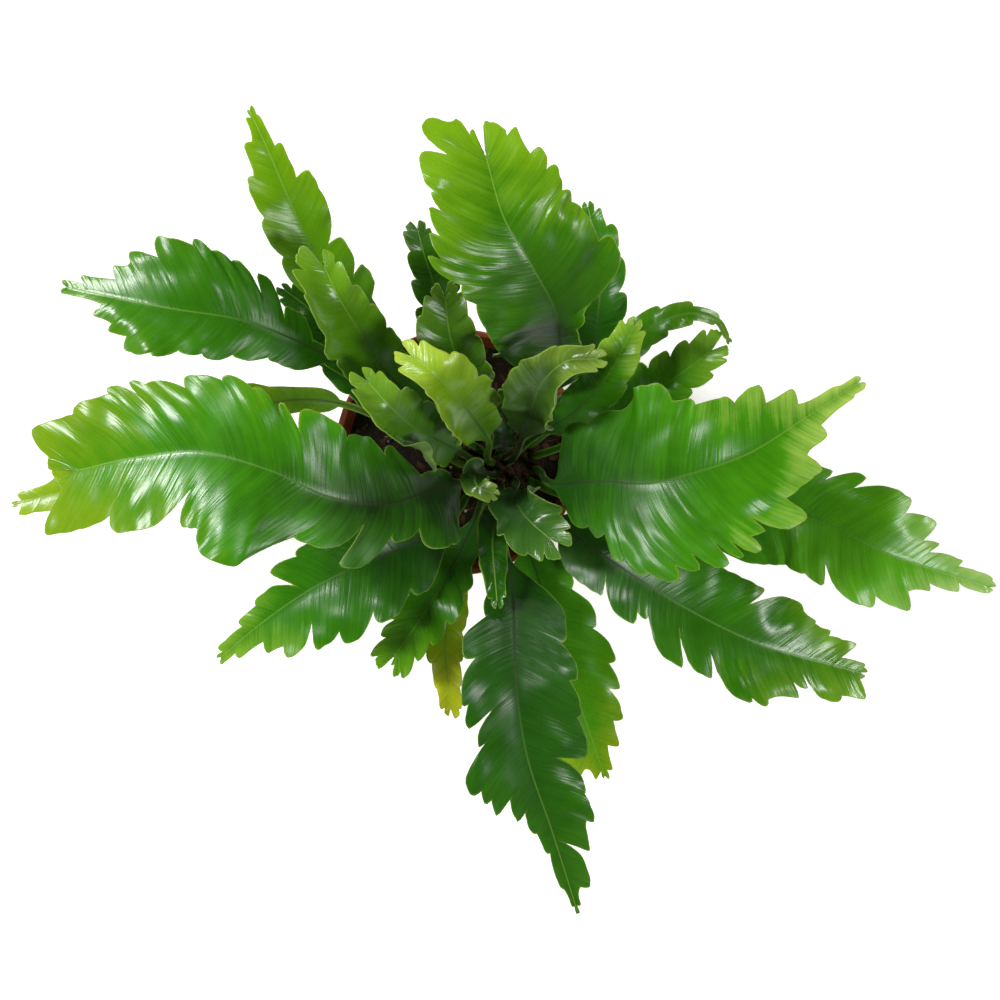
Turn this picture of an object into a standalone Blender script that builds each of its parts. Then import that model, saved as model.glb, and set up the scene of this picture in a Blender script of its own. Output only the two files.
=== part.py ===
"""Potted fern: a strap-leaved fern with lobed, wavy fronds in a round plastic nursery pot.

The pot stands on z = 0 with its axis on the Z axis. Every frond grows out of one crown, which sits
in a pocket of the potting soil, and rises and arches along a midrib of its own.
"""

import math
from dataclasses import dataclass

import bmesh
import bpy
import numpy as np
from mathutils import Vector

MM = 0.001
CLEARANCE = 0.3 * MM  # between pieces that touch in the real plant

# Pot
POT_RIM_RADIUS = 60 * MM
POT_BASE_RADIUS = 42 * MM
POT_HEIGHT = 95 * MM
POT_WALL = 1.6 * MM
POT_FLOOR = 2.4 * MM
COLLAR_HEIGHT = 14 * MM
COLLAR_STEP = 1.4 * MM  # how far the collar stands out from the wall below it
BASE_ROUNDING = 3 * MM
DRAIN_HOLES = 6
DRAIN_HOLE_RADIUS = 4 * MM
DRAIN_HOLE_CIRCLE = 30 * MM
DRAIN_GROOVE_WIDTH = 4 * MM
DRAIN_GROOVE_DEPTH = 1.2 * MM
TURNING_STEPS = 40

# Soil and crown
HEADSPACE = 13 * MM  # from the rim down to the soil
SOIL_MENISCUS = 2 * MM  # how far the soil drops beside the wall
CROWN_CENTRE = Vector((20 * MM, -6 * MM, 0))
CROWN_RADIUS = 22 * MM
CROWN_ABOVE_SOIL = 10 * MM
CROWN_BELOW_SOIL = 18 * MM
CROWN_ROOT_RADIUS = 12 * MM
CROWN_STEPS = 20

# Fronds
BLADE_THICKNESS = 0.9 * MM
STALK_RADIUS = 1.7 * MM
STALK_TIP_RADIUS = 0.6 * MM
STALK_RINGS = 4
STATION_GAP = 0.02  # least share of a blade between two of its sections
WIDEST_GAP = 0.07  # and the most
FAN = 0.1  # share past a blade's end over which its last veins turn to the tip's direction
FAN_STEP = 2 * MM  # how far the veins' roots move on meanwhile
CUP = 6  # degrees that the two halves of a blade rise above level
RUFFLE = 3 * MM
WAVES = 3  # of the ruffle, from the stalk's foot to the tip
FROND_SCALE = 1.0  # of the fronds' lengths and widths

SOIL_LEVEL = POT_HEIGHT - HEADSPACE
CROWN_TOP = SOIL_LEVEL + CROWN_ABOVE_SOIL
RING_RADIUS = {
    "outer": CROWN_RADIUS - 4.5 * MM, "middle": CROWN_RADIUS - 11.5 * MM, "inner": 4 * MM}


@dataclass
class Frond:
    """One frond. Lengths are in millimetres and angles in degrees.

    ring and angle say where its stalk leaves the crown, counted from +X towards +Y. path holds the
    points that its midrib passes through, the last one its tip, measured from the middle of the
    crown's top. left and right are marks along the margins, looking from the stalk to the tip:
    (share of the blade's length, length of the vein there), in a notch and at a lobe's tip in turn.
    The veins of shares above 1 fan out from the midrib's end.
    """

    name: str
    ring: str
    angle: float
    path: tuple
    left: tuple
    right: tuple
    stalk: float = 0.3  # share of the length that has no blade
    sweep: tuple = (74, 48)  # between the midrib and the veins, at the blade's base and its tip


FRONDS = (
    # The tall outer fronds
    Frond("frond_left_broad", "outer", 200,
          ((-17, -9, 36), (-27, -11, 58), (-51, -19, 88), (-74, -16, 104), (-99, -4.5, 113),
           (-130, 3.5, 110), (-162, 1, 98), (-187, -4, 86)),
          left=((0, 18), (0.05, 30), (0.15, 16), (0.19, 20), (0.215, 17), (0.245, 33), (0.285, 10),
                (0.345, 26), (0.37, 25), (0.44, 53), (0.55, 40), (0.585, 41), (0.65, 20),
                (0.76, 41), (0.84, 30), (0.97, 36), (1.02, 18), (1.04, 12), (1.09, 2)),
          right=((0, 3), (0.06, 9), (0.1, 9), (0.17, 28), (0.2, 24), (0.28, 34), (0.33, 30),
                 (0.39, 37), (0.452, 25), (0.46, 35), (0.478, 28), (0.495, 39.5), (0.51, 38),
                 (0.535, 42), (0.555, 39), (0.585, 41), (0.625, 34), (0.665, 40), (0.68, 39),
                 (0.695, 42.5), (0.718, 34), (0.745, 42), (0.765, 38), (0.8, 38), (0.86, 33),
                 (0.93, 33), (1.02, 20), (1.03, 16), (1.09, 2)),
          stalk=0.2, sweep=(68, 46)),
    Frond("frond_right_broad", "outer", 352,
          ((22, -8, 36), (28, -10, 62), (45, -9, 92), (65, -10, 110), (86, -5, 117), (108, 3, 116),
           (131, 17, 108), (156, 33, 100)),
          left=((0, 18), (0.07, 29), (0.1, 28), (0.15, 34), (0.195, 36), (0.31, 46), (0.39, 36),
                (0.42, 35), (0.455, 31), (0.51, 31), (0.595, 25), (0.65, 28), (0.7, 17),
                (0.755, 17), (0.805, 8), (0.87, 6), (0.95, 4), (0.99, 4), (1.08, 1.5)),
          right=((0, 12), (0.06, 22), (0.09, 21), (0.125, 27), (0.19, 25), (0.215, 37), (0.23, 35),
                 (0.238, 43), (0.253, 41.5), (0.272, 47.5), (0.302, 40), (0.32, 45), (0.343, 36),
                 (0.37, 47), (0.4, 34), (0.412, 45.5), (0.43, 36), (0.445, 45.5), (0.468, 37),
                 (0.49, 37.5), (0.505, 29), (0.535, 42), (0.588, 28), (0.675, 27), (0.72, 16),
                 (0.755, 15), (0.83, 7.5), (0.94, 5.5), (0.97, 4), (1, 4.5), (1.08, 1.5)),
          sweep=(72, 56)),
    Frond("frond_back_broad", "outer", 55,
          ((18, 23, 36), (25, 38, 64), (27, 50, 86), (24, 65, 112), (13, 83, 132), (2, 101, 140),
           (-5, 125, 138)),
          left=((0, 10), (0.16, 33), (0.22, 30), (0.44, 36), (0.5, 34), (0.54, 38), (0.575, 36),
                (0.615, 44), (0.63, 38), (0.665, 40), (0.68, 35), (0.725, 37), (0.747, 30),
                (0.776, 34), (0.79, 31), (0.83, 37), (0.955, 20), (1, 32), (1.03, 25), (1.045, 22),
                (1.065, 12), (1.075, 14), (1.09, 3)),
          right=((0, 7), (0.12, 11), (0.3, 9), (0.345, 14), (0.36, 16), (0.42, 42), (0.474, 35),
                 (0.56, 37), (0.6, 35), (0.64, 37), (0.68, 34), (0.75, 36), (0.79, 30), (0.81, 32),
                 (0.87, 24), (0.95, 22), (0.985, 15), (1.05, 16), (1.09, 3)),
          stalk=0.34, sweep=(70, 46)),
    Frond("frond_front_long", "outer", 268,
          ((2, -36, 30), (6, -58, 52), (7, -80, 65), (8, -104, 73), (13, -135, 66), (24, -169, 50),
           (37, -212, 26)),
          left=((0, 14), (0.1, 28), (0.13, 25), (0.19, 33), (0.215, 29), (0.28, 34), (0.305, 31.5),
                (0.37, 35), (0.46, 16), (0.53, 27.5), (0.55, 26), (0.61, 27.5), (0.64, 22),
                (0.735, 20), (0.75, 5), (0.83, 15), (0.9, 7), (0.95, 4), (0.98, 1), (1.02, 1.5),
                (1.06, 1)),
          right=((0, 12), (0.06, 16), (0.075, 15), (0.125, 28), (0.175, 21), (0.235, 30),
                 (0.25, 27), (0.285, 30), (0.31, 14.5), (0.35, 25.5), (0.366, 20.5), (0.4, 38),
                 (0.44, 31), (0.46, 32), (0.48, 27), (0.51, 28), (0.53, 17), (0.575, 18.5),
                 (0.6, 11), (0.63, 13), (0.68, 9.5), (0.72, 9), (0.77, 5.5), (0.83, 7), (0.9, 4.5),
                 (0.95, 3), (0.98, 1), (1.02, 1.5), (1.06, 1)),
          stalk=0.26, sweep=(62, 42)),
    Frond("frond_front_right_long", "outer", 312,
          ((24, -25, 24), (50, -44, 45), (74, -60, 57), (99, -74, 63), (124, -85, 61),
           (166, -97, 47)),
          left=((0, 16), (0.12, 26), (0.16, 23), (0.3, 32), (0.36, 28), (0.5, 30), (0.545, 18),
                (0.62, 31.5), (0.678, 27), (0.715, 25), (0.74, 22), (0.785, 21), (0.811, 17.5),
                (0.87, 18), (0.915, 6), (0.97, 7), (1, 4), (1.04, 4.5), (1.08, 2)),
          right=((0, 4), (0.17, 19), (0.19, 9), (0.275, 22.5), (0.3, 15.5), (0.316, 16.8),
                 (0.334, 13.5), (0.415, 30), (0.433, 13), (0.482, 29), (0.522, 15), (0.577, 33.5),
                 (0.598, 30.5), (0.617, 33), (0.642, 29), (0.735, 24.5), (0.75, 15.5), (0.778, 18),
                 (0.795, 7.5), (0.85, 22.5), (0.9, 17.5), (0.93, 17), (1, 4), (1.04, 4),
                 (1.08, 1)),
          stalk=0.2, sweep=(66, 44)),
    Frond("frond_right_long", "outer", 332,
          ((36, -17, 22), (66, -23, 38), (102, -22, 49), (138, -23, 58), (171, -39, 65),
           (192, -47, 61), (225, -57, 50)),
          left=((0, 20), (0.27, 27), (0.3, 19), (0.335, 31.5), (0.364, 22.5), (0.45, 33.5),
                (0.54, 23.5), (0.605, 27.5), (0.672, 14), (0.715, 16), (0.73, 8.5), (0.83, 11.5),
                (0.855, 6.5), (0.93, 7.5), (1, 4), (1.05, 4.5), (1.08, 2)),
          right=((0, 16), (0.2, 29), (0.23, 28), (0.31, 31), (0.33, 30), (0.37, 32), (0.412, 19),
                 (0.49, 32.5), (0.55, 25), (0.615, 27.5), (0.67, 16.5), (0.735, 13.5), (0.765, 8.5),
                 (0.815, 9.5), (0.89, 2.5), (0.94, 5), (1, 4), (1.04, 3.5), (1.08, 2)),
          stalk=0.4, sweep=(66, 46)),
    Frond("frond_back_left_long", "outer", 160,
          ((-34, 18, 30), (-59, 36, 48), (-74, 46, 62), (-90, 54, 73), (-115, 63, 84),
           (-147, 68, 88), (-193, 78, 78)),
          left=((0, 3), (0.1, 5), (0.13, 4.5), (0.26, 15), (0.28, 14), (0.36, 20), (0.38, 19),
                (0.436, 24.5), (0.47, 22), (0.49, 23.5), (0.535, 22.5), (0.565, 27.5),
                (0.585, 26.5), (0.616, 29), (0.695, 20.5), (0.74, 20.5), (0.77, 15.5), (0.82, 14),
                (0.86, 5.5), (0.93, 4.5), (1.06, 1.5)),
          right=((0, 3), (0.12, 4), (0.2, 4), (0.275, 14.5), (0.3, 10), (0.335, 26), (0.36, 16),
                 (0.385, 30), (0.4, 29), (0.425, 33.5), (0.44, 33), (0.47, 39), (0.488, 35.5),
                 (0.57, 37.5), (0.625, 26), (0.695, 28), (0.725, 21.5), (0.765, 18.5), (0.81, 10),
                 (0.9, 9.5), (0.94, 4), (0.98, 4.5), (1.06, 1.5)),
          stalk=0.36, sweep=(66, 46)),
    Frond("frond_back_left_narrow", "outer", 124,
          ((-28, 34, 36), (-58, 58, 64), (-69, 72, 84), (-79, 87, 99), (-91, 113, 114),
           (-99, 132, 114), (-108, 151, 106)),
          left=((0, 4), (0.07, 8), (0.14, 10), (0.21, 15), (0.29, 15), (0.36, 19), (0.43, 16),
                (0.5, 20), (0.57, 17), (0.64, 19), (0.71, 14), (0.79, 13), (0.86, 7), (0.93, 5),
                (0.98, 1), (1.02, 2), (1.06, 1)),
          right=((0, 6), (0.07, 12), (0.14, 13), (0.22, 20), (0.27, 11), (0.36, 18), (0.44, 9),
                 (0.56, 19), (0.68, 9), (0.75, 10), (0.82, 5), (0.9, 5), (0.97, 3), (1, 3.5),
                 (1.06, 1.5)),
          stalk=0.4, sweep=(62, 40)),
    # The low outer fronds, under the ones above
    Frond("frond_left_under", "outer", 180,
          ((-42, 14, 12), (-73, 28, 20), (-99, 30, 27), (-126, 22, 33), (-154, 8, 38),
           (-182, -7, 40), (-227, -19, 34)),
          left=((0, 2), (0.08, 7), (0.17, 10), (0.25, 16), (0.33, 15), (0.42, 18), (0.5, 15),
                (0.58, 19), (0.67, 17), (0.75, 20), (0.83, 13), (0.92, 9), (0.98, 1), (1.02, 2),
                (1.06, 1)),
          right=((0, 2), (0.08, 7), (0.17, 10), (0.25, 15), (0.33, 13), (0.42, 16), (0.5, 13),
                 (0.58, 17), (0.67, 14), (0.75, 17), (0.83, 10), (0.92, 7), (0.98, 1), (1.02, 2),
                 (1.06, 1)),
          sweep=(60, 44)),
    Frond("frond_front_left_wide", "outer", 222,
          ((-26, -31, 28), (-46, -40, 43), (-64, -47, 49), (-88, -59, 47), (-110, -74, 38),
           (-131, -91, 26)),
          left=((0, 16), (0.07, 26), (0.12, 22), (0.2, 33), (0.26, 26), (0.33, 37), (0.4, 28),
                (0.46, 32), (0.53, 16), (0.6, 27), (0.66, 19), (0.71, 18), (0.77, 10), (0.86, 9),
                (0.93, 4), (0.98, 4.5), (1.05, 1)),
          right=((0, 9), (0.1, 20), (0.16, 17), (0.25, 26), (0.31, 19), (0.38, 23), (0.43, 20),
                 (0.48, 22), (0.55, 6), (0.63, 14), (0.7, 11), (0.76, 11), (0.82, 6), (0.9, 7),
                 (0.98, 2), (1.02, 3), (1.06, 1)),
          stalk=0.26, sweep=(66, 44)),
    Frond("frond_front_left_yellow", "outer", 250,
          ((-14, -36, 12), (-21, -56, 14), (-26, -84, 11), (-24, -118, -6)),
          left=((0, 4), (0.1, 8), (0.2, 10), (0.3, 12), (0.4, 10), (0.5, 12), (0.6, 9), (0.7, 10),
                (0.8, 8), (0.9, 9), (0.97, 6), (1.03, 7), (1.08, 2)),
          right=((0, 4), (0.1, 8), (0.2, 9), (0.3, 12), (0.4, 10), (0.5, 12), (0.6, 9), (0.7, 10),
                 (0.8, 8), (0.9, 8), (0.97, 4), (1.03, 5), (1.08, 2)),
          sweep=(60, 40)),
    Frond("frond_front_right_under", "outer", 290,
          ((14, -41, 20), (20, -59, 32), (26, -82, 39), (37, -111, 35), (50, -148, 18)),
          left=((0, 9), (0.12, 18), (0.16, 16), (0.24, 26), (0.3, 22), (0.38, 30), (0.43, 25),
                (0.5, 27), (0.54, 20), (0.62, 24), (0.69, 17), (0.76, 17), (0.83, 9), (0.9, 8),
                (0.97, 3), (1, 3.5), (1.06, 1.5)),
          right=((0, 7), (0.06, 13), (0.12, 15), (0.19, 20), (0.25, 19), (0.31, 24), (0.38, 22),
                 (0.44, 28), (0.5, 26), (0.56, 32), (0.62, 29), (0.69, 31), (0.75, 24), (0.81, 21),
                 (0.88, 12), (0.94, 8), (0.98, 1), (1.02, 2), (1.06, 1)),
          stalk=0.22, sweep=(62, 40)),
    Frond("frond_back_left_dark", "outer", 142,
          ((-32, 24, 22), (-54, 33, 34), (-74, 52, 46), (-87, 70, 54), (-98, 79, 50)),
          left=((0, 4), (0.08, 7), (0.17, 9), (0.25, 13), (0.33, 12), (0.42, 15), (0.5, 13),
                (0.58, 15), (0.67, 12), (0.75, 13), (0.83, 9), (0.92, 8), (0.97, 4), (1.03, 5),
                (1.08, 2)),
          right=((0, 4), (0.08, 7), (0.17, 9), (0.25, 12), (0.33, 11), (0.42, 14), (0.5, 11),
                 (0.58, 13), (0.67, 10), (0.75, 11), (0.83, 8), (0.92, 7), (0.97, 3), (1.03, 4),
                 (1.08, 2))),
    Frond("frond_back_narrow", "outer", 102,
          ((-12, 30, 20), (-22, 56, 32), (-29, 79, 54), (-34, 94, 66), (-37, 105, 60)),
          left=((0, 4), (0.08, 7), (0.17, 7), (0.25, 12), (0.33, 9), (0.42, 14), (0.5, 9),
                (0.58, 12), (0.67, 8), (0.75, 10), (0.83, 7), (0.92, 9), (0.97, 6), (1.03, 7),
                (1.08, 2)),
          right=((0, 4), (0.08, 7), (0.17, 7), (0.25, 12), (0.33, 9), (0.42, 14), (0.5, 9),
                 (0.58, 13), (0.67, 8), (0.75, 11), (0.83, 7), (0.92, 8), (0.97, 5), (1.03, 6),
                 (1.08, 2)),
          stalk=0.32),
    Frond("frond_back_under", "outer", 80,
          ((20, 26, 16), (38, 38, 24), (45, 62, 38), (47, 90, 46), (42, 118, 40)),
          left=((0, 4), (0.08, 7), (0.17, 8), (0.25, 13), (0.33, 11), (0.42, 16), (0.5, 12),
                (0.58, 16), (0.67, 11), (0.75, 13), (0.83, 8), (0.92, 8), (0.97, 3), (1.03, 4),
                (1.08, 2)),
          right=((0, 4), (0.08, 8), (0.17, 8), (0.25, 14), (0.33, 10), (0.42, 15), (0.5, 10),
                 (0.58, 14), (0.67, 9), (0.75, 13), (0.83, 8), (0.92, 8), (0.97, 3), (1.03, 4),
                 (1.08, 2)),
          stalk=0.36),
    Frond("frond_back_right_curled", "outer", 32,
          ((26, 18, 14), (46, 34, 28), (60, 54, 48), (73, 64, 58), (88, 68, 62), (100, 65, 58),
           (106, 57, 50)),
          left=((0, 4), (0.08, 6), (0.17, 7), (0.25, 10), (0.33, 8), (0.42, 9), (0.5, 6), (0.58, 7),
                (0.67, 4), (0.75, 4), (0.83, 2), (0.92, 2), (0.98, 1), (1.02, 2), (1.06, 1)),
          right=((0, 4), (0.08, 6), (0.17, 6), (0.25, 9), (0.33, 8), (0.42, 9), (0.5, 6), (0.58, 7),
                 (0.67, 4), (0.75, 4), (0.83, 2), (0.92, 2), (0.98, 1), (1.02, 2), (1.06, 1)),
          stalk=0.42),
    Frond("frond_back_right_short", "outer", 14,
          ((34, 10, 18), (56, 24, 30), (76, 36, 46), (88, 44, 53), (97, 51, 50)),
          left=((0, 4), (0.08, 7), (0.17, 8), (0.25, 14), (0.33, 12), (0.42, 17), (0.5, 12),
                (0.58, 16), (0.67, 11), (0.75, 15), (0.83, 11), (0.92, 13), (0.97, 9), (1.03, 11),
                (1.08, 2)),
          right=((0, 4), (0.08, 7), (0.17, 8), (0.25, 13), (0.33, 10), (0.42, 15), (0.5, 11),
                 (0.58, 14), (0.67, 10), (0.75, 13), (0.83, 9), (0.92, 11), (0.97, 7), (1.03, 9),
                 (1.08, 2)),
          stalk=0.4),
    # The middle ring
    Frond("frond_right_upright", "middle", 35,
          ((16, 12, 26), (38, 26, 48), (51, 42, 66), (60, 60, 74)),
          left=((0, 4), (0.1, 8), (0.2, 9), (0.3, 12), (0.4, 12), (0.5, 14), (0.6, 12), (0.7, 13),
                (0.8, 10), (0.9, 9), (0.97, 4), (1.03, 5), (1.08, 2)),
          right=((0, 4), (0.1, 8), (0.2, 9), (0.3, 12), (0.4, 11), (0.5, 13), (0.6, 11), (0.7, 12),
                 (0.8, 10), (0.9, 9), (0.97, 4), (1.03, 5), (1.08, 2)),
          stalk=0.36),
    Frond("frond_back_upright", "middle", 105,
          ((-8, 22, 38), (-16, 40, 58), (-22, 56, 74), (-24, 72, 82)),
          left=((0, 5), (0.1, 11), (0.2, 14.5), (0.3, 18), (0.4, 15.5), (0.5, 19), (0.6, 15.5),
                (0.7, 18), (0.8, 14.5), (0.9, 13), (0.97, 7), (1.03, 8.5), (1.08, 2)),
          right=((0, 5), (0.1, 9.5), (0.2, 11), (0.3, 14.5), (0.4, 13), (0.5, 15.5), (0.6, 13),
                 (0.7, 14.5), (0.8, 12), (0.9, 12), (0.97, 7), (1.03, 8.5), (1.08, 2)),
          stalk=0.36),
    Frond("frond_left_upright", "middle", 142,
          ((-18, 12, 38), (-40, 30, 66), (-54, 44, 86), (-62, 58, 106), (-69, 70, 120),
           (-74, 81, 124)),
          left=((0, 4), (0.08, 8), (0.17, 9), (0.25, 14), (0.33, 13), (0.42, 18), (0.5, 17),
                (0.58, 23), (0.67, 20), (0.75, 24), (0.83, 19), (0.92, 19), (0.97, 11), (1.03, 14),
                (1.08, 2)),
          right=((0, 4), (0.08, 9), (0.17, 10), (0.25, 14), (0.33, 13), (0.42, 16), (0.5, 13),
                 (0.58, 15), (0.67, 12), (0.75, 13), (0.83, 10), (0.92, 10), (0.97, 6), (1.03, 8),
                 (1.08, 2)),
          stalk=0.42),
    Frond("frond_left_folded", "middle", 172,
          ((-18, 5, 36), (-28, 10, 64), (-38, 15, 92), (-48, 24, 110), (-56, 33, 112)),
          left=((0, 5), (0.1, 11), (0.2, 13), (0.3, 18), (0.4, 17), (0.5, 20), (0.6, 17), (0.7, 18),
                (0.8, 14), (0.9, 14), (0.97, 7), (1.03, 9), (1.08, 2)),
          right=((0, 5), (0.1, 10), (0.2, 12), (0.3, 16), (0.4, 14), (0.5, 16), (0.6, 13),
                 (0.7, 15), (0.8, 11), (0.9, 10), (0.97, 6), (1.03, 7), (1.08, 2)),
          stalk=0.34),
    Frond("frond_front_left_short", "middle", 238,
          ((-12, -28, 20), (-22, -48, 26), (-33, -67, 35), (-48, -89, 25)),
          left=((0, 5), (0.08, 10), (0.17, 11), (0.25, 16), (0.33, 13), (0.42, 19), (0.5, 14),
                (0.58, 19), (0.67, 14), (0.75, 17), (0.83, 12), (0.94, 17), (1, 10), (1.025, 13),
                (1.05, 6), (1.07, 7), (1.09, 2)),
          right=((0, 5), (0.08, 10), (0.17, 11), (0.25, 17), (0.33, 13), (0.42, 19), (0.5, 14),
                 (0.58, 20), (0.67, 14), (0.75, 18), (0.83, 13), (0.95, 17), (1, 11), (1.03, 13),
                 (1.09, 2)),
          sweep=(60, 36)),
    Frond("frond_front_short", "middle", 275,
          ((-2, -22, 32), (-3, -38, 56), (-2, -52, 66), (-1, -62, 66)),
          left=((0, 3), (0.12, 6), (0.25, 7), (0.38, 8), (0.5, 8), (0.62, 8), (0.75, 7), (0.88, 6),
                (0.97, 3), (1.03, 4), (1.08, 2)),
          right=((0, 3), (0.12, 6), (0.25, 7), (0.38, 8), (0.5, 8), (0.62, 8), (0.75, 7), (0.88, 6),
                 (0.97, 3), (1.03, 4), (1.08, 2))),
    Frond("frond_front_right_short", "middle", 315,
          ((7, -14, 32), (10, -22, 54), (15, -28, 66), (22, -34, 68)),
          left=((0, 5), (0.1, 8.5), (0.2, 9.5), (0.3, 14.5), (0.4, 13), (0.5, 18), (0.6, 15.5),
                (0.7, 18), (0.8, 14.5), (0.9, 14.5), (0.97, 8.5), (1.03, 11), (1.08, 2)),
          right=((0, 5), (0.1, 8.5), (0.2, 9.5), (0.3, 14.5), (0.4, 13), (0.5, 18), (0.6, 15.5),
                 (0.7, 18), (0.8, 14.5), (0.9, 14.5), (0.97, 8.5), (1.03, 11), (1.08, 2)),
          stalk=0.34),
    # The young inner fronds
    Frond("frond_centre_left", "inner", 165,
          ((-5, 10, 42), (-12, 20, 80), (-20, 29, 112), (-28, 37, 125), (-36, 43, 124)),
          left=((0, 5), (0.1, 11), (0.2, 13), (0.3, 17), (0.4, 15.5), (0.5, 19), (0.6, 15.5),
                (0.7, 18), (0.8, 13), (0.9, 12), (0.97, 7), (1.03, 8.5), (1.08, 2)),
          right=((0, 5), (0.1, 11), (0.2, 13), (0.3, 17), (0.4, 15.5), (0.5, 19), (0.6, 15.5),
                 (0.7, 18), (0.8, 13), (0.9, 12), (0.97, 7), (1.03, 8.5), (1.08, 2)),
          stalk=0.38),
    Frond("frond_centre_right", "inner", 15,
          ((11, 12, 46), (14, 22, 84), (19, 34, 114), (29, 42, 125), (40, 43, 122)),
          left=((0, 5), (0.1, 9.5), (0.2, 11), (0.3, 14.5), (0.4, 14.5), (0.5, 17), (0.6, 14.5),
                (0.7, 15.5), (0.8, 11), (0.9, 9.5), (0.97, 5), (1.03, 6), (1.08, 2)),
          right=((0, 5), (0.1, 9.5), (0.2, 11), (0.3, 14.5), (0.4, 14.5), (0.5, 17), (0.6, 14.5),
                 (0.7, 15.5), (0.8, 11), (0.9, 9.5), (0.97, 5), (1.03, 6), (1.08, 2)),
          stalk=0.38),
    Frond("frond_centre_dark", "inner", 95,
          ((2, 7, 26), (3, 20, 46), (4, 33, 58)),
          left=((0, 4), (0.12, 6), (0.25, 6), (0.38, 8), (0.5, 7), (0.62, 8), (0.75, 7), (0.88, 6),
                (0.97, 3), (1.03, 4), (1.08, 2)),
          right=((0, 4), (0.12, 6), (0.25, 6), (0.38, 8), (0.5, 7), (0.62, 8), (0.75, 7), (0.88, 6),
                 (0.97, 3), (1.03, 4), (1.08, 2)),
          stalk=0.38),
    Frond("frond_centre_small", "inner", 255,
          ((-7, -5, 28), (-11, -5, 52), (-10, -11, 64), (-4, -14, 60)),
          left=((0, 3), (0.12, 4), (0.25, 5), (0.38, 7), (0.5, 7), (0.62, 8), (0.75, 6), (0.88, 6),
                (0.97, 3), (1.03, 4), (1.08, 2)),
          right=((0, 3), (0.12, 4), (0.25, 5), (0.38, 7), (0.5, 7), (0.62, 8), (0.75, 6), (0.88, 6),
                 (0.97, 3), (1.03, 4), (1.08, 2)),
          stalk=0.42),
)


def clear_scene():
    for obj in list(bpy.data.objects):
        bpy.data.objects.remove(obj, do_unlink=True)


def make_material(name, colour, roughness):
    """A Principled BSDF of one linear colour."""
    material = bpy.data.materials.new(name)
    material.use_nodes = True
    shader = material.node_tree.nodes["Principled BSDF"]
    shader.inputs["Base Color"].default_value = (*colour, 1)
    shader.inputs["Roughness"].default_value = roughness
    shader.inputs["Metallic"].default_value = 0
    material.diffuse_color = (*colour, 1)
    return material


def add_mesh(name, points, faces, collection):
    mesh = bpy.data.meshes.new(name)
    mesh.from_pydata([tuple(p) for p in points], [], faces)
    mesh.update()
    obj = bpy.data.objects.new(name, mesh)
    collection.objects.link(obj)
    return obj


def turned(name, profile, steps, collection, centre=(0, 0, 0)):
    """A solid turned about a vertical axis from (radius, height) points.

    The profile starts and ends on the axis, and goes clockwise round the solid.
    """
    edges = [(i, i + 1) for i in range(len(profile) - 1)]
    mesh = bpy.data.meshes.new(name)
    mesh.from_pydata([(radius, 0, height) for radius, height in profile], edges, [])
    obj = bpy.data.objects.new(name, mesh)
    obj.location = centre
    collection.objects.link(obj)
    screw = obj.modifiers.new("Turn", "SCREW")
    screw.steps = steps
    screw.render_steps = steps
    screw.use_merge_vertices = True
    screw.merge_threshold = 0.00001
    screw.use_smooth_shade = True
    return obj


def cut(obj, cutter):
    boolean = obj.modifiers.new("Cut " + cutter.name, "BOOLEAN")
    boolean.operation = "DIFFERENCE"
    boolean.solver = "EXACT"
    boolean.object = cutter
    cutter.hide_render = True
    cutter.display_type = "WIRE"


def inner_radius(height):
    """The radius of the pot's inner wall at a height above the ground."""
    base = POT_BASE_RADIUS - POT_WALL
    top = POT_RIM_RADIUS - COLLAR_STEP - POT_WALL
    return base + (top - base) * (height - POT_FLOOR) / (POT_HEIGHT - POT_FLOOR)


def arc(centre, radius, start, end, count):
    """Points on an arc in the (radius, height) plane, from one angle in degrees to another."""
    angles = [math.radians(start + (end - start) * i / (count - 1)) for i in range(count)]
    return [(centre[0] + radius * math.cos(a), centre[1] + radius * math.sin(a)) for a in angles]


def pot_profile():
    """Up the inner wall, over the rounded rim, down the collar and the wall to the base."""
    rim_inner = inner_radius(POT_HEIGHT)
    lip = (POT_RIM_RADIUS - rim_inner) / 2
    collar_foot = POT_HEIGHT - COLLAR_HEIGHT
    profile = [(0, POT_FLOOR), (inner_radius(POT_FLOOR), POT_FLOOR)]
    profile += arc((rim_inner + lip, POT_HEIGHT - lip), lip, 180, 0, 5)
    collar_radius = inner_radius(collar_foot) + POT_WALL
    profile += [(collar_radius + COLLAR_STEP, collar_foot), (collar_radius, collar_foot - COLLAR_STEP)]
    rounding_centre = (POT_BASE_RADIUS - BASE_ROUNDING, BASE_ROUNDING)
    profile += arc(rounding_centre, BASE_ROUNDING, 0, -90, 4)
    profile.append((0, 0))
    return profile


def drain_cutter(collection):
    """The holes through the pot's floor."""
    shape = bmesh.new()
    for i in range(DRAIN_HOLES):
        angle = 2 * math.pi * (i + 0.5) / DRAIN_HOLES
        outward = Vector((math.cos(angle), math.sin(angle), 0))
        hole = bmesh.ops.create_cone(
            shape, cap_ends=True, segments=16, radius1=DRAIN_HOLE_RADIUS,
            radius2=DRAIN_HOLE_RADIUS, depth=4 * POT_FLOOR)
        bmesh.ops.translate(shape, verts=hole["verts"], vec=outward * DRAIN_HOLE_CIRCLE)
    holes = bpy.data.meshes.new("drain_holes")
    shape.to_mesh(holes)
    shape.free()
    obj = bpy.data.objects.new("drain_holes", holes)
    collection.objects.link(obj)
    return obj


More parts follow.
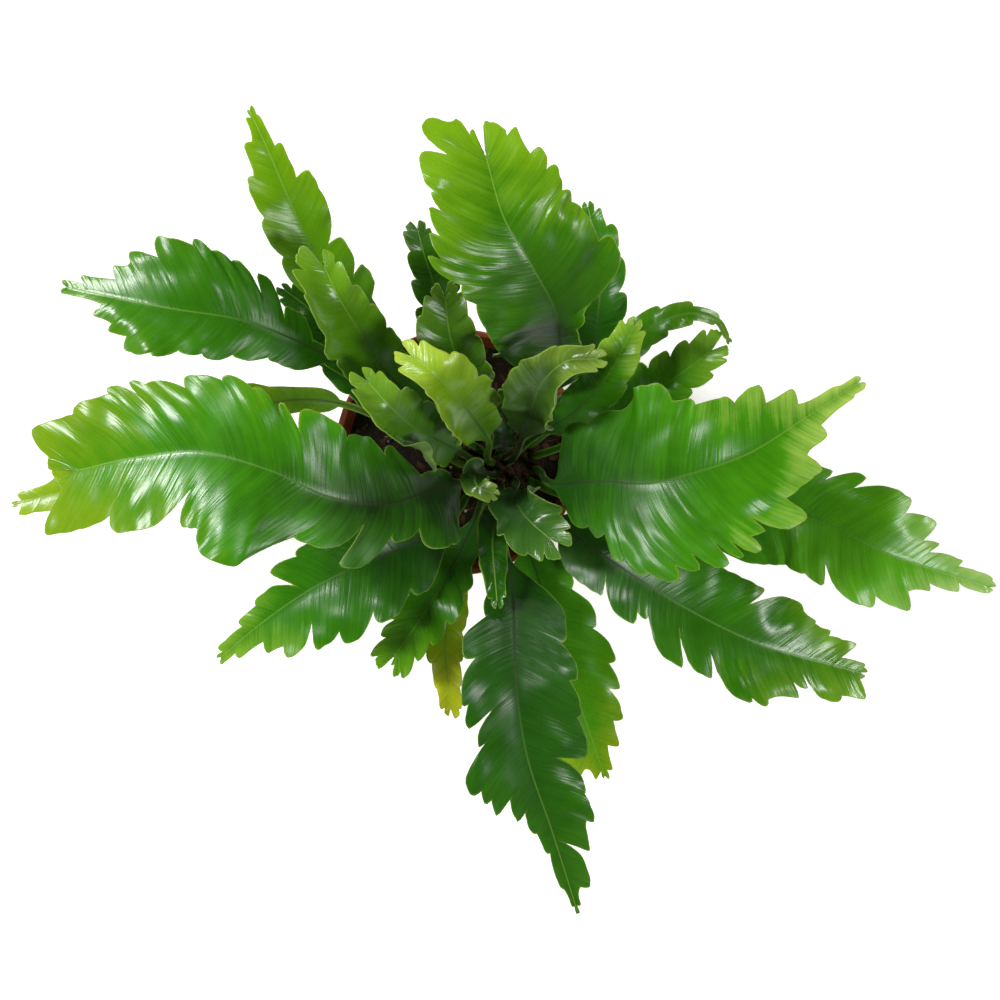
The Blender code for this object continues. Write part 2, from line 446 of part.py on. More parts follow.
def groove_cutter(collection):
    shape = bmesh.new()
    length = POT_BASE_RADIUS - DRAIN_HOLE_CIRCLE + 4 * MM
    for i in range(DRAIN_HOLES):
        angle = 2 * math.pi * (i + 0.5) / DRAIN_HOLES
        outward = Vector((math.cos(angle), math.sin(angle), 0))
        groove = bmesh.ops.create_cube(shape, size=1)["verts"]
        size = (length, DRAIN_GROOVE_WIDTH, 2 * DRAIN_GROOVE_DEPTH)
        bmesh.ops.scale(shape, verts=groove, vec=size)
        bmesh.ops.rotate(
            shape, verts=groove, cent=(0, 0, 0),
            matrix=outward.to_track_quat("X", "Z").to_matrix())
        bmesh.ops.translate(
            shape, verts=groove, vec=outward * (DRAIN_HOLE_CIRCLE + length / 2))
    grooves = bpy.data.meshes.new("drain_grooves")
    shape.to_mesh(grooves)
    shape.free()
    obj = bpy.data.objects.new("drain_grooves", grooves)
    collection.objects.link(obj)
    return obj


def make_pot(parts, cutters):
    pot = turned("pot", pot_profile(), TURNING_STEPS, parts)
    cut(pot, drain_cutter(cutters))
    cut(pot, groove_cutter(cutters))
    return pot


def crown_profile(gap=0.0):
    """From the dome's top out, over it, down the rootstock and back to the axis; gap grows it."""
    foot = SOIL_LEVEL - CROWN_BELOW_SOIL - gap
    shoulder = SOIL_LEVEL + 2 * MM
    dome = [
        (CROWN_RADIUS * math.cos(a) + gap, shoulder + (CROWN_TOP - shoulder) * math.sin(a))
        for a in (math.radians(d) for d in (60, 35, 10))
    ]
    return [(0, CROWN_TOP + gap), *dome,
            (CROWN_RADIUS + gap, SOIL_LEVEL - 3 * MM),
            (CROWN_ROOT_RADIUS + gap, foot + 3 * MM), (CROWN_ROOT_RADIUS * 0.7, foot), (0, foot)]


def make_crown(parts):
    return turned("crown", crown_profile(), CROWN_STEPS, parts, CROWN_CENTRE)


def make_soil(parts, cutters):
    bottom = POT_FLOOR + CLEARANCE
    edge = SOIL_LEVEL - SOIL_MENISCUS
    profile = [
        (0, SOIL_LEVEL),
        (inner_radius(SOIL_LEVEL) * 0.75, SOIL_LEVEL),
        (inner_radius(edge) - CLEARANCE, edge),
        (inner_radius(bottom) - CLEARANCE, bottom),
        (0, bottom),
    ]
    soil = turned("potting_soil", profile, TURNING_STEPS, parts)
    pocket = turned("crown_pocket", crown_profile(CLEARANCE), CROWN_STEPS, cutters, CROWN_CENTRE)
    cut(soil, pocket)
    return soil


def crown_height(radius):
    """The height of the crown's dome at a distance from its centre."""
    shoulder = SOIL_LEVEL + 2 * MM
    return shoulder + (CROWN_TOP - shoulder) * math.sqrt(max(0, 1 - (radius / CROWN_RADIUS) ** 2))


def smooth_path(points, launch, per_span=14):
    """A Hermite curve through the points, resampled at even steps.

    Each inner tangent is the slope between the point's two neighbours, the first one is launch and
    the last one is the slope of the last chord.
    """
    points = np.array(points, float)
    at = np.concatenate([[0], np.cumsum(np.linalg.norm(np.diff(points, axis=0), axis=1))])
    slopes = np.empty_like(points)
    slopes[1:-1] = (points[2:] - points[:-2]) / (at[2:] - at[:-2])[:, None]
    slopes[0] = launch
    slopes[-1] = (points[-1] - points[-2]) / (at[-1] - at[-2])
    curve = []
    t = np.linspace(0, 1, per_span, endpoint=False)[:, None]
    for i in range(len(points) - 1):
        span = at[i + 1] - at[i]
        curve.append(
            (2 * t**3 - 3 * t**2 + 1) * points[i] + (t**3 - 2 * t**2 + t) * span * slopes[i]
            + (3 * t**2 - 2 * t**3) * points[i + 1] + (t**3 - t**2) * span * slopes[i + 1])
    curve = np.concatenate([*curve, points[-1:]])
    length = np.concatenate([[0], np.cumsum(np.linalg.norm(np.diff(curve, axis=0), axis=1))])
    even = np.linspace(0, length[-1], len(curve))
    return np.stack([np.interp(even, length, curve[:, k]) for k in range(3)], axis=1), length[-1]


def unit(vectors):
    return vectors / np.linalg.norm(vectors, axis=-1, keepdims=True)


class Blade:
    """The shape of one frond: a flat lobed leaf, laid out beside its midrib and bent onto it."""

    def __init__(self, spec):
        self.spec = spec
        angle = math.radians(spec.angle)
        radius = RING_RADIUS[spec.ring]
        foot = CROWN_CENTRE + Vector((radius * math.cos(angle), radius * math.sin(angle), 0))
        foot.z = crown_height(radius) + 2 * CLEARANCE + STALK_RADIUS
        launch = Vector((0.35 * math.cos(angle), 0.35 * math.sin(angle), 1)).normalized()
        top = Vector((CROWN_CENTRE.x, CROWN_CENTRE.y, CROWN_TOP))
        points = [foot] + [top + Vector(p) * MM * FROND_SCALE for p in spec.path]
        self.line, self.length = smooth_path(points, launch)
        self.tangents = unit(np.gradient(self.line, axis=0))
        self.start = spec.stalk * self.length
        self.marks = {}
        for side, marks in ((1, spec.left), (-1, spec.right)):
            self.marks[side] = [(u, length * MM * FROND_SCALE) for u, length in marks]
        self.widest = {side: max(mark[1] for mark in self.marks[side]) for side in (1, -1)}
        random = np.random.default_rng(len(spec.name) * 37 + int(spec.angle))
        self.phase = {side: random.uniform(0, 2 * math.pi) for side in (1, -1)}

    def frame(self, s):
        """(point, left, up) of the midrib at a distance along it, also past its tip."""
        even = np.linspace(0, self.length, len(self.line))
        inside = min(max(s, 0), self.length)
        point = np.array([np.interp(inside, even, self.line[:, k]) for k in range(3)])
        tangent = unit(np.array([np.interp(inside, even, self.tangents[:, k]) for k in range(3)]))
        up = unit(np.array([0, 0, 1]) - tangent[2] * tangent)
        return point + tangent * (s - inside), np.cross(up, tangent), up

    def root(self, u):
        """How far along the midrib the vein at share u of the blade starts."""
        return self.start + min(u, 1) * (self.length - self.start) + max(u - 1, 0) / FAN * FAN_STEP

    def vein(self, u, side):
        """(length, angle) of the vein at share u of the blade.

        Between a lobe's tip T and a notch N the length is T - (T - N) x^p, where x is 0 at the tip
        and 1 in the notch, and p is larger for a deeper notch.
        """
        marks = self.marks[side]
        after = 1
        while after < len(marks) - 1 and marks[after][0] <= u:
            after += 1
        tip, notch = marks[after], marks[after - 1]
        if after % 2 == 0:
            tip, notch = notch, tip
        x = min(max((tip[0] - u) / (tip[0] - notch[0]), 0), 1)
        power = 2.2 + 5 * max(1 - notch[1] / tip[1], 0)
        base, last = self.spec.sweep
        angle = base + (last - base) * min(u, 1) if u <= 1 else last * (1 - (u - 1) / FAN)
        return tip[1] - (tip[1] - notch[1]) * x**power, math.radians(angle)

    def surface(self, s, b):
        """(point, up) of the bent blade at distance s along the midrib and b to its left."""
        point, left, up = self.frame(s)
        side = 1 if b >= 0 else -1
        out = min(abs(b) / self.widest[side], 1)
        cup = math.radians(CUP)
        wave = math.sin(2 * math.pi * WAVES * s / self.length + self.phase[side])
        lift = abs(b) * math.sin(cup) + RUFFLE * out**1.5 * wave
        return point + left * b * math.cos(cup) + up * lift, up

    def stations(self):
        """Shares of the blade's length for its sections: the marks of both margins, thinned out."""
        marks = sorted({mark[0] for side in (1, -1) for mark in self.marks[side]})
        kept = [marks[0]]
        for mark in marks[1:]:
            if mark - kept[-1] > WIDEST_GAP:
                kept.append((mark + kept[-1]) / 2)
            if mark - kept[-1] > STATION_GAP:
                kept.append(mark)
        kept[-1] = marks[-1]
        return kept

    def stalk_rings(self):
        round_angles = [math.radians(d) for d in (165, 125, 90, 55, 15, -15, -55, -90, -125, -165)]
        rings = []
        for i in range(STALK_RINGS):
            point, left, up = self.frame(self.start * i / STALK_RINGS)
            rings.append([point + STALK_RADIUS * (up * math.sin(a) - left * math.cos(a))
                          for a in round_angles])
        return rings

    def blade_ring(self, u):
        """Ten points: over the blade from its left edge to its right one, and back below it."""
        rib = STALK_RADIUS + (STALK_TIP_RADIUS - STALK_RADIUS) * min(u, 1)
        half = BLADE_THICKNESS / 2
        root = self.root(u)
        over, under = {}, {}
        for side in (1, -1):
            length, angle = self.vein(u, side)
            length = max(length, rib)
            for share in (1, 0.5):
                along = root + length * share * math.cos(angle)
                point, up = self.surface(along, side * length * share * math.sin(angle))
                over[side, share] = point + up * half
                under[side, share] = point - up * half
        centre, _, up = self.frame(root)
        return [over[1, 1], over[1, 0.5], centre + up * rib * 0.5, over[-1, 0.5], over[-1, 1],
                under[-1, 1], under[-1, 0.5], centre - up * rib, under[1, 0.5], under[1, 1]]

    def sections(self):
        """Rings of ten points each, from the foot of the stalk to the tip."""
        return self.stalk_rings() + [self.blade_ring(u) for u in self.stations()]


def loft(name, rings, collection):
    """Joins rings of points, each to the next, and closes both ends."""
    count = len(rings[0])
    points = [p for ring in rings for p in ring]
    faces = []
    for i in range(len(rings) - 1):
        for k in range(count):
            after = (k + 1) % count
            a, b = i * count, (i + 1) * count
            faces.append((a + k, a + after, b + after, b + k))
    last = (len(rings) - 1) * count
    half = count // 2
    for first, order in ((0, -1), (last, 1)):
        for k in range(half - 1):
            face = (first + k, first + k + 1, first + count - 2 - k, first + count - 1 - k)
            faces.append(face[::order])
    obj = add_mesh(name, points, faces, collection)
    obj.data.shade_smooth()
    obj.data.set_sharp_from_angle(angle=math.radians(50))
    return obj


def make_frond(spec, parts):
    return loft(spec.name, Blade(spec).sections(), parts)


def main():
    clear_scene()
    parts = bpy.data.collections.new("potted_fern")
    cutters = bpy.data.collections.new("cutters")
    for collection in (parts, cutters):
        bpy.context.scene.collection.children.link(collection)
    terracotta = make_material("terracotta_plastic", (0.35, 0.085, 0.035), 0.45)
    peat = make_material("peat", (0.02, 0.011, 0.007), 0.95)
    scales = make_material("crown_scales", (0.05, 0.025, 0.012), 0.85)
    leaf = make_material("leaf", (0.07, 0.25, 0.015), 0.35)
    make_pot(parts, cutters).data.materials.append(terracotta)
    make_soil(parts, cutters).data.materials.append(peat)
    make_crown(parts).data.materials.append(scales)
    for spec in FRONDS:
        make_frond(spec, parts).data.materials.append(leaf)


main()
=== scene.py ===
"""A potted fern: glossy, wavy, lobed strap fronds on one crown, in a round nursery pot.

Lengths in the frond list are in millimetres, the way a grower would give them. Everything else is
in metres. The pot, the soil and the crown are placed by the frame's own boxes.
"""

import logging
import math
from dataclasses import dataclass
from enum import Enum

import bmesh
import bpy
import numpy as np
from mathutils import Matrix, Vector


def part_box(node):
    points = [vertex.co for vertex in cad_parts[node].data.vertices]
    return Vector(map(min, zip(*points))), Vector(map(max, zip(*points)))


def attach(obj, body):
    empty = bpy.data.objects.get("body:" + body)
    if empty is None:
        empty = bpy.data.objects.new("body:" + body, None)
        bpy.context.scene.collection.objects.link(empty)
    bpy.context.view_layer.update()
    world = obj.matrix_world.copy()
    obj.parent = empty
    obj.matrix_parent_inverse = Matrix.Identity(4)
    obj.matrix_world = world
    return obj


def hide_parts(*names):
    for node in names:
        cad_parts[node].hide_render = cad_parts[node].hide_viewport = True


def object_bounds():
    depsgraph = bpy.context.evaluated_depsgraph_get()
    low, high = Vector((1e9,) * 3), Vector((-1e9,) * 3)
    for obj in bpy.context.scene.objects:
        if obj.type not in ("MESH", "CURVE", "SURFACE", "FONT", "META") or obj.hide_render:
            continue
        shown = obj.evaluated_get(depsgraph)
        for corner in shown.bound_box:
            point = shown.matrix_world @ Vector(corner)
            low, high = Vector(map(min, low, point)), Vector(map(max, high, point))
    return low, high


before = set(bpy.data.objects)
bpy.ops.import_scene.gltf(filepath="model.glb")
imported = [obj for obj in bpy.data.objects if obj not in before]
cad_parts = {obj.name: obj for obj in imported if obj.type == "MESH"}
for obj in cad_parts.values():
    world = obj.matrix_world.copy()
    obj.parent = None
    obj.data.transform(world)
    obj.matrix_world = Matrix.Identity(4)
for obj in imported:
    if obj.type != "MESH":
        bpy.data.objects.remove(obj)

CAD_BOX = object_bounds()
MM = 0.001
TAU = math.tau
log = logging.getLogger("potted_fern")


# Helpers


def linear(code: str) -> tuple[float, ...]:
    """Turns an sRGB hex colour into linear red, green, blue and an alpha of 1."""
    parts = [int(code[i:i + 2], 16) / 255 for i in (0, 2, 4)]
    return (*[p / 12.92 if p <= 0.04045 else ((p + 0.055) / 1.055) ** 2.4 for p in parts], 1.0)


def add_node(tree: bpy.types.NodeTree, kind: str, inputs: dict, **settings) -> bpy.types.Node:
    """Adds a node with its settings and its links.

    Args:
        tree: The node tree that it goes in.
        kind: The node's type, without the ShaderNode at its start.
        inputs: Socket name or number, to a value or to the output socket that feeds it.
        settings: The node's own properties.

    Returns:
        The new node.
    """
    node = tree.nodes.new("ShaderNode" + kind)
    for key, value in settings.items():
        setattr(node, key, value)
    for key, value in inputs.items():
        if isinstance(value, bpy.types.NodeSocket):
            tree.links.new(value, node.inputs[key])
        else:
            node.inputs[key].default_value = value
    return node


def set_ramp(ramp: bpy.types.ColorRamp, stops: tuple) -> None:
    """Gives a colour ramp its (position, hex colour) stops."""
    for element, (position, code) in zip(ramp.elements, (stops[0], stops[-1])):
        element.position, element.color = position, linear(code)
    for position, code in stops[1:-1]:
        ramp.elements.new(position).color = linear(code)


class Shading:
    """A material under way: one Principled BSDF and the nodes that feed it."""

    def __init__(self, name: str, **surface: float) -> None:
        """Starts the material.

        Args:
            name: The material's name.
            surface: Shader sockets, with _ for a space, and their constant values.
        """
        self.material = bpy.data.materials.new(name)
        self.material.use_nodes = True
        self.tree = self.material.node_tree
        self.shader = self.tree.nodes["Principled BSDF"]
        for key, value in surface.items():
            self.shader.inputs[key.replace("_", " ")].default_value = value

    def node(self, kind: str, inputs: dict, **settings) -> bpy.types.Node:
        """Adds a node to this material."""
        return add_node(self.tree, kind, inputs, **settings)

    def maths(self, operation: str, *values, clamp: bool = False) -> bpy.types.NodeSocket:
        """Gives the result of a Math node."""
        inputs = dict(enumerate(values))
        return self.node("Math", inputs, operation=operation, use_clamp=clamp).outputs[0]

    def mix(self, factor, first, second) -> bpy.types.NodeSocket:
        """Gives the first colour with the second one over it by the factor."""
        return self.node("Mix", {0: factor, 6: first, 7: second}, data_type="RGBA").outputs[2]

    def noise(self, vector: bpy.types.NodeSocket, size: float, detail: float = 2.0) -> bpy.types.NodeSocket:
        """Gives noise whose blotches are about size metres across."""
        return self.node("TexNoise", {"Vector": vector, "Scale": 0.5 / size, "Detail": detail}).outputs[0]

    def feed(self, socket: str, value: bpy.types.NodeSocket) -> None:
        """Links a value to a socket of the shader."""
        self.tree.links.new(value, self.shader.inputs[socket])

    def bump(self, height: bpy.types.NodeSocket, depth: float, strength: float = 1.0) -> None:
        """Feeds the shader's normal from a height of 0 to 1 that stands for depth metres."""
        node = self.node("Bump", {"Strength": strength, "Distance": depth, "Height": height})
        self.feed("Normal", node.outputs[0])


def unit(vectors: np.ndarray) -> np.ndarray:
    """Scales vectors, along the last axis, to length 1."""
    return vectors / np.maximum(np.linalg.norm(vectors, axis=-1, keepdims=True), 1e-12)


def smoothstep(low: float, high: float, x: np.ndarray) -> np.ndarray:
    """Rises from 0 at low to 1 at high, level at both ends: 3x^2 - 2x^3."""
    x = np.clip((x - low) / (high - low), 0, 1)
    return x * x * (3 - 2 * x)


def wave_noise(
    x: np.ndarray, y: np.ndarray, random: np.random.Generator, shortest: float, longest: float
) -> np.ndarray:
    """Sums seven plane waves of random direction and phase, for a smooth unevenness.

    Args:
        x: First coordinate, in metres.
        y: Second coordinate, in metres.
        random: Source of the directions and phases.
        shortest: The shortest wavelength, in metres.
        longest: The longest wavelength, in metres.

    Returns:
        Heights, mostly between -1 and 1.
    """
    total = np.zeros(np.broadcast(x, y).shape)
    for length in np.geomspace(shortest, longest, 7):
        angle, phase = random.uniform(0, TAU, 2)
        total += np.sin(TAU / length * (x * math.cos(angle) + y * math.sin(angle)) + phase)
    return total / 2.6


def ring_faces(rings: int, count: int) -> np.ndarray:
    """Gives the quads that join each closed ring of count points to the next ring."""
    ring, k = np.meshgrid(np.arange(rings - 1), np.arange(count), indexing="ij")
    after = (k + 1) % count
    a, b = ring * count, (ring + 1) * count
    return np.stack([a + k, a + after, b + after, b + k], axis=-1).reshape(-1, 4)


def flat_caps(rings: int, count: int) -> np.ndarray:
    """Gives the strips of quads that close a lofted shape's first and last rings."""
    k = np.arange(count // 2 - 1)
    first = np.stack([k, k + 1, count - 2 - k, count - 1 - k], axis=-1)
    return np.concatenate([first[:, ::-1], first + (rings - 1) * count])


def make_piece(
    name: str, points: np.ndarray, faces: np.ndarray, material: bpy.types.Material,
    node: str = "",
) -> bpy.types.Object:
    """Makes a smooth mesh piece that rides on the plant's one body.

    Args:
        name: The piece's name.
        points: Its vertices, in metres, with x, y and z along the last axis.
        faces: Its faces, as rows of vertex numbers.
        material: Its material.
        node: The CAD node that it stands for, if any.

    Returns:
        The new object.
    """
    mesh = bpy.data.meshes.new(name)
    mesh.from_pydata(points.reshape(-1, 3).tolist(), [], faces.tolist())
    mesh.materials.append(material)
    mesh.shade_smooth()
    piece = bpy.data.objects.new(name, mesh)
    bpy.context.scene.collection.objects.link(piece)
    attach(piece, "root")
    if node:
        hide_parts(node)
    return piece


def close_up(mesh: bpy.types.Mesh, distance: float = 0.01 * MM) -> None:
    """Merges the points of a mesh's poles and seams, then turns its faces outwards."""
    shape = bmesh.new()
    shape.from_mesh(mesh)
    bmesh.ops.remove_doubles(shape, verts=shape.verts, dist=distance)
    bmesh.ops.dissolve_degenerate(shape, edges=shape.edges, dist=distance)
    bmesh.ops.recalc_face_normals(shape, faces=shape.faces)
    shape.to_mesh(mesh)
    shape.free()


def carve(piece: bpy.types.Object, points: np.ndarray, faces: np.ndarray) -> None:
    """Takes a closed shape out of a piece, for good.

    Args:
        piece: The piece.
        points: The cutting shape's vertices.
        faces: The cutting shape's faces.
    """
    mesh = bpy.data.meshes.new("cutter")
    mesh.from_pydata(points.reshape(-1, 3).tolist(), [], faces.tolist())
    close_up(mesh)
    cutter = bpy.data.objects.new("cutter", mesh)
    bpy.context.scene.collection.objects.link(cutter)
    cut = piece.modifiers.new("Cut", "BOOLEAN")
    cut.object = cutter
    cut.solver = "MANIFOLD"
    carved = piece.evaluated_get(bpy.context.evaluated_depsgraph_get())
    result = bpy.data.meshes.new_from_object(carved)
    result.name = piece.name
    piece.modifiers.clear()
    piece.data = result
    bpy.data.objects.remove(cutter)


def fillet(corners: np.ndarray, steps: int = 5) -> np.ndarray:
    """Rounds an outline's corners; two neighbours' roundings add up to less than their distance.

    Each corner is a quadratic Bezier curve from a point before it to a point after it, both as far
    from it as its rounding says.

    Args:
        corners: Rows of radius, height and rounding, in metres.
        steps: How many points each corner gets.

    Returns:
        Rows of radius and height.
    """
    at, rounding = corners[:, :2], corners[:, 2:]
    before = at + rounding * unit(np.roll(at, 1, axis=0) - at)
    after = at + rounding * unit(np.roll(at, -1, axis=0) - at)
    t = np.linspace(0, 1, steps)[None, :, None]
    curve = ((1 - t) ** 2 * before[:, None] + 2 * t * (1 - t) * at[:, None] + t * t * after[:, None])
    return curve.reshape(-1, 2)


def revolve(profile: np.ndarray, steps: int, centre: tuple[float, float] = (0, 0)) -> np.ndarray:
    """Turns an outline about a vertical axis: x = r cos a, y = r sin a, z = height.

    Args:
        profile: Rows of radius and height.
        steps: How many copies of the outline go round.
        centre: The axis's x and y.

    Returns:
        Points, one ring for each row of the outline.
    """
    angle = np.linspace(0, TAU, steps, endpoint=False)
    radius, height = profile[:, :1], profile[:, 1:]
    x = centre[0] + radius * np.cos(angle)
    y = centre[1] + radius * np.sin(angle)
    return np.stack([x, y, np.broadcast_to(height, x.shape)], axis=-1)


# Finishes


@dataclass(frozen=True)
class FrondSkin:
    """Waxy living leaf: a clear cuticle over close parallel veins.

    It gives the eye a wet gloss that is drawn out along the veins, green that goes from deep at the stalk
    to lime at the tip and the margin, the deep stalk end partly the leaf's own colour and partly painted
    shade, a thin pale edge, a dark midrib and a matt, paler back.
    """

    name: str
    tones: tuple[str, str, str]  # at the stalk (partly painted shade), in the middle, at the tip
    vein_spacing: float = 1.3 * MM
    gloss: float = 0.19
    back: str = "7d9a58"
    edge: str = "8fb02a"

    def material(self) -> bpy.types.Material:
        """Builds the material, which reads where on the blade a point is from two attributes.

        Returns:
            The material.
        """
        make = Shading(self.name, IOR=1.45, Specular_IOR_Level=0.5)
        plan = make.node("Attribute", {}, attribute_name="blade_plan")
        place = make.node("Attribute", {}, attribute_name="blade_place")
        vein_start, across, share = make.node("SeparateXYZ", {0: plan.outputs["Vector"]}).outputs
        along, underside, margin = make.node("SeparateXYZ", {0: place.outputs["Vector"]}).outputs
        spot = make.node("TexCoord", {}).outputs["Object"]

        # Streaks: noise that is as fine as the veins across them, and long along them.
        streak_place = make.node(
            "CombineXYZ",
            {0: make.maths("DIVIDE", vein_start, self.vein_spacing),
             1: make.maths("DIVIDE", across, 22 * MM)})
        streak = make.node(
            "TexNoise", {"Vector": streak_place.outputs[0], "Scale": 0.9, "Detail": 3.0}).outputs[0]
        broad_place = make.node(
            "CombineXYZ",
            {0: make.maths("DIVIDE", vein_start, 7 * MM), 1: make.maths("DIVIDE", across, 50 * MM)})
        broad = make.node(
            "TexNoise", {"Vector": broad_place.outputs[0], "Scale": 1.0, "Detail": 1.0}).outputs[0]
        mottle = make.noise(spot, 9 * MM, 3.0)
        grain = make.noise(spot, 0.35 * MM)

        # From deep green at the stalk to light at the tip, and lighter towards the margin; the darkening at
        # the stalk is partly the leaf's own colour and partly painted shade.
        light = make.maths("MULTIPLY_ADD", share, 0.3, make.maths("MULTIPLY_ADD", along, 0.72, -0.36))
        light = make.maths("MULTIPLY_ADD", broad, 0.22, light)
        light = make.maths("MULTIPLY_ADD", mottle, 0.34, light)
        light = make.maths("MULTIPLY_ADD", streak, 0.28, light)
        green = make.node("ValToRGB", {0: light})
        deep, middle, tip = self.tones
        set_ramp(green.color_ramp, ((0.2, deep), (0.64, middle), (1.0, tip)))

        # The pale edge: the last part of a millimetre before the margin.
        rim = make.maths("SUBTRACT", 1.0, make.maths("DIVIDE", margin, 0.8 * MM), clamp=True)
        colour = make.mix(make.maths("MULTIPLY", rim, 0.5), green.outputs[0], linear(self.edge))

        # The midrib: dark brown at the stalk, and pale green towards the tip.
        rib = make.node("ValToRGB", {0: along})
        set_ramp(rib.color_ramp, ((0.0, "170d05"), (0.3, "2a2a08"), (0.5, "4f7f14"), (1.0, "9cc04a")))
        width = make.maths("MULTIPLY_ADD", along, -0.6 * MM, 1.0 * MM)
        near = make.maths("DIVIDE", make.maths("ABSOLUTE", across), width)
        near = make.maths("SUBTRACT", 1.25, near, clamp=True)
        colour = make.mix(make.maths("MULTIPLY", near, 0.55), colour, rib.outputs[0])

        # The back: paler and greyer.
        colour = make.mix(make.maths("MULTIPLY", underside, 0.6), colour, linear(self.back))
        fleck = make.maths("MULTIPLY_ADD", grain, 0.3, 0.85)
        flecked = make.node("VectorMath", {0: colour, "Scale": fleck}, operation="SCALE")
        make.feed("Base Color", flecked.outputs[0])

        rough = make.maths("MULTIPLY_ADD", streak, 0.12, self.gloss - 0.06)
        rough = make.maths("MULTIPLY_ADD", mottle, 0.08, rough)
        rough = make.maths("MULTIPLY_ADD", near, 0.3, rough)
        rough = make.maths("MULTIPLY_ADD", along, -0.2, make.maths("ADD", rough, 0.18))
        make.feed("Roughness", make.maths("MULTIPLY_ADD", underside, 0.28, rough))

        # Ridges of the veins, and the cuticle's faint pebbling.
        height = make.maths("MULTIPLY_ADD", grain, 0.08, streak)
        height = make.maths("MULTIPLY_ADD", broad, 1.1, height)
        make.bump(height, 0.26 * MM, 0.8)
        return make.material


@dataclass(frozen=True)
class MouldedPlastic:
    """Injection-moulded polypropylene in terracotta red, a little dusty.

    It gives the eye a satin red-brown with a fine moulded grain, paler dusty patches here and
    there, and dried splashes of soil that darken it, most towards the foot.
    """

    name: str = "terracotta_polypropylene"
    body: str = "8f4226"
    dusty: str = "b0745a"
    soil: str = "2b1a12"

    def material(self) -> bpy.types.Material:
        """Builds the material."""
        make = Shading(self.name, IOR=1.49)
        spot = make.node("TexCoord", {}).outputs["Object"]
        height = make.node("SeparateXYZ", {0: spot}).outputs[2]
        cloud = make.noise(spot, 14 * MM, 4.0)
        speck = make.noise(spot, 0.7 * MM, 3.0)
        grain = make.noise(spot, 0.25 * MM)
        dust = make.maths("MULTIPLY_ADD", cloud, 2.2, -1.0, clamp=True)
        colour = make.mix(make.maths("MULTIPLY", dust, 0.45), linear(self.body), linear(self.dusty))
        low = make.maths("SUBTRACT", 0.42, make.maths("DIVIDE", height, 60 * MM), clamp=True)
        splash = make.maths(
            "MULTIPLY", make.maths("ADD", low, 0.12),
            make.maths("MULTIPLY_ADD", speck, 5.0, -2.2, clamp=True))
        colour = make.mix(splash, colour, linear(self.soil))
        make.feed("Base Color", colour)
        make.feed("Roughness", make.maths("MULTIPLY_ADD", cloud, 0.25, 0.34))
        make.bump(make.maths("MULTIPLY_ADD", grain, 0.5, speck), 0.08 * MM, 0.6)
        return make.material


@dataclass(frozen=True)
class GrowingMatter:
    """Damp peat, bark, perlite or root fibre: dull and rough, in two mixed colours.

    It gives the eye the crumbly, light-swallowing dark of moist compost, or for perlite the chalky
    white of puffed glass.
    """

    name: str
    dark: str
    light: str
    crumb: float
    depth: float
    roughness: float = 0.92

    def material(self) -> bpy.types.Material:
        """Builds the material."""
        make = Shading(self.name, IOR=1.4, Roughness=self.roughness)
        spot = make.node("TexCoord", {}).outputs["Object"]
        coarse = make.noise(spot, self.crumb, 5.0)
        fine = make.noise(spot, self.crumb / 5, 3.0)
        blend = make.maths(
            "MULTIPLY_ADD", fine, 0.9, make.maths("MULTIPLY_ADD", coarse, 1.6, -0.85), clamp=True)
        make.feed("Base Color", make.mix(blend, linear(self.dark), linear(self.light)))
        make.bump(make.maths("MULTIPLY_ADD", fine, 0.4, coarse), self.depth)
        return make.material


# Parts of the plant


class Ring(Enum):
    """How far from the crown's middle a stalk stands, in millimetres."""

    OUTER = 17.5
    MIDDLE = 10.5
    INNER = 4.0


@dataclass(frozen=True)
class FrondForm:
    """One frond as a grower would measure it. Lengths are in millimetres and angles in degrees.

    The stalk leaves the crown in the direction angle, counted from +X towards +Y. The midrib passes
    through path's points, the last one its tip, measured from the middle of the crown's top. left
    and right are marks along the margins, looking from the stalk to the tip: (share of the blade's
    length, length of the vein there), in a notch and at a lobe's tip in turn. The veins of shares
    above 1 fan out from the midrib's end. A curl is (1 for the left half or -1 for the right one,
    share of the blade's length at its middle, share that it spreads over, degrees that the margin
    turns up and over).
    """

    name: str
    ring: Ring
    angle: float
    # Stalk, middle and tip greens; the stalk green is partly painted shade.
    tones: tuple[str, str, str]
    path: tuple
    left: tuple
    right: tuple
    stalk: float = 0.3
    sweep: tuple[float, float] = (74, 48)
    curls: tuple = ()


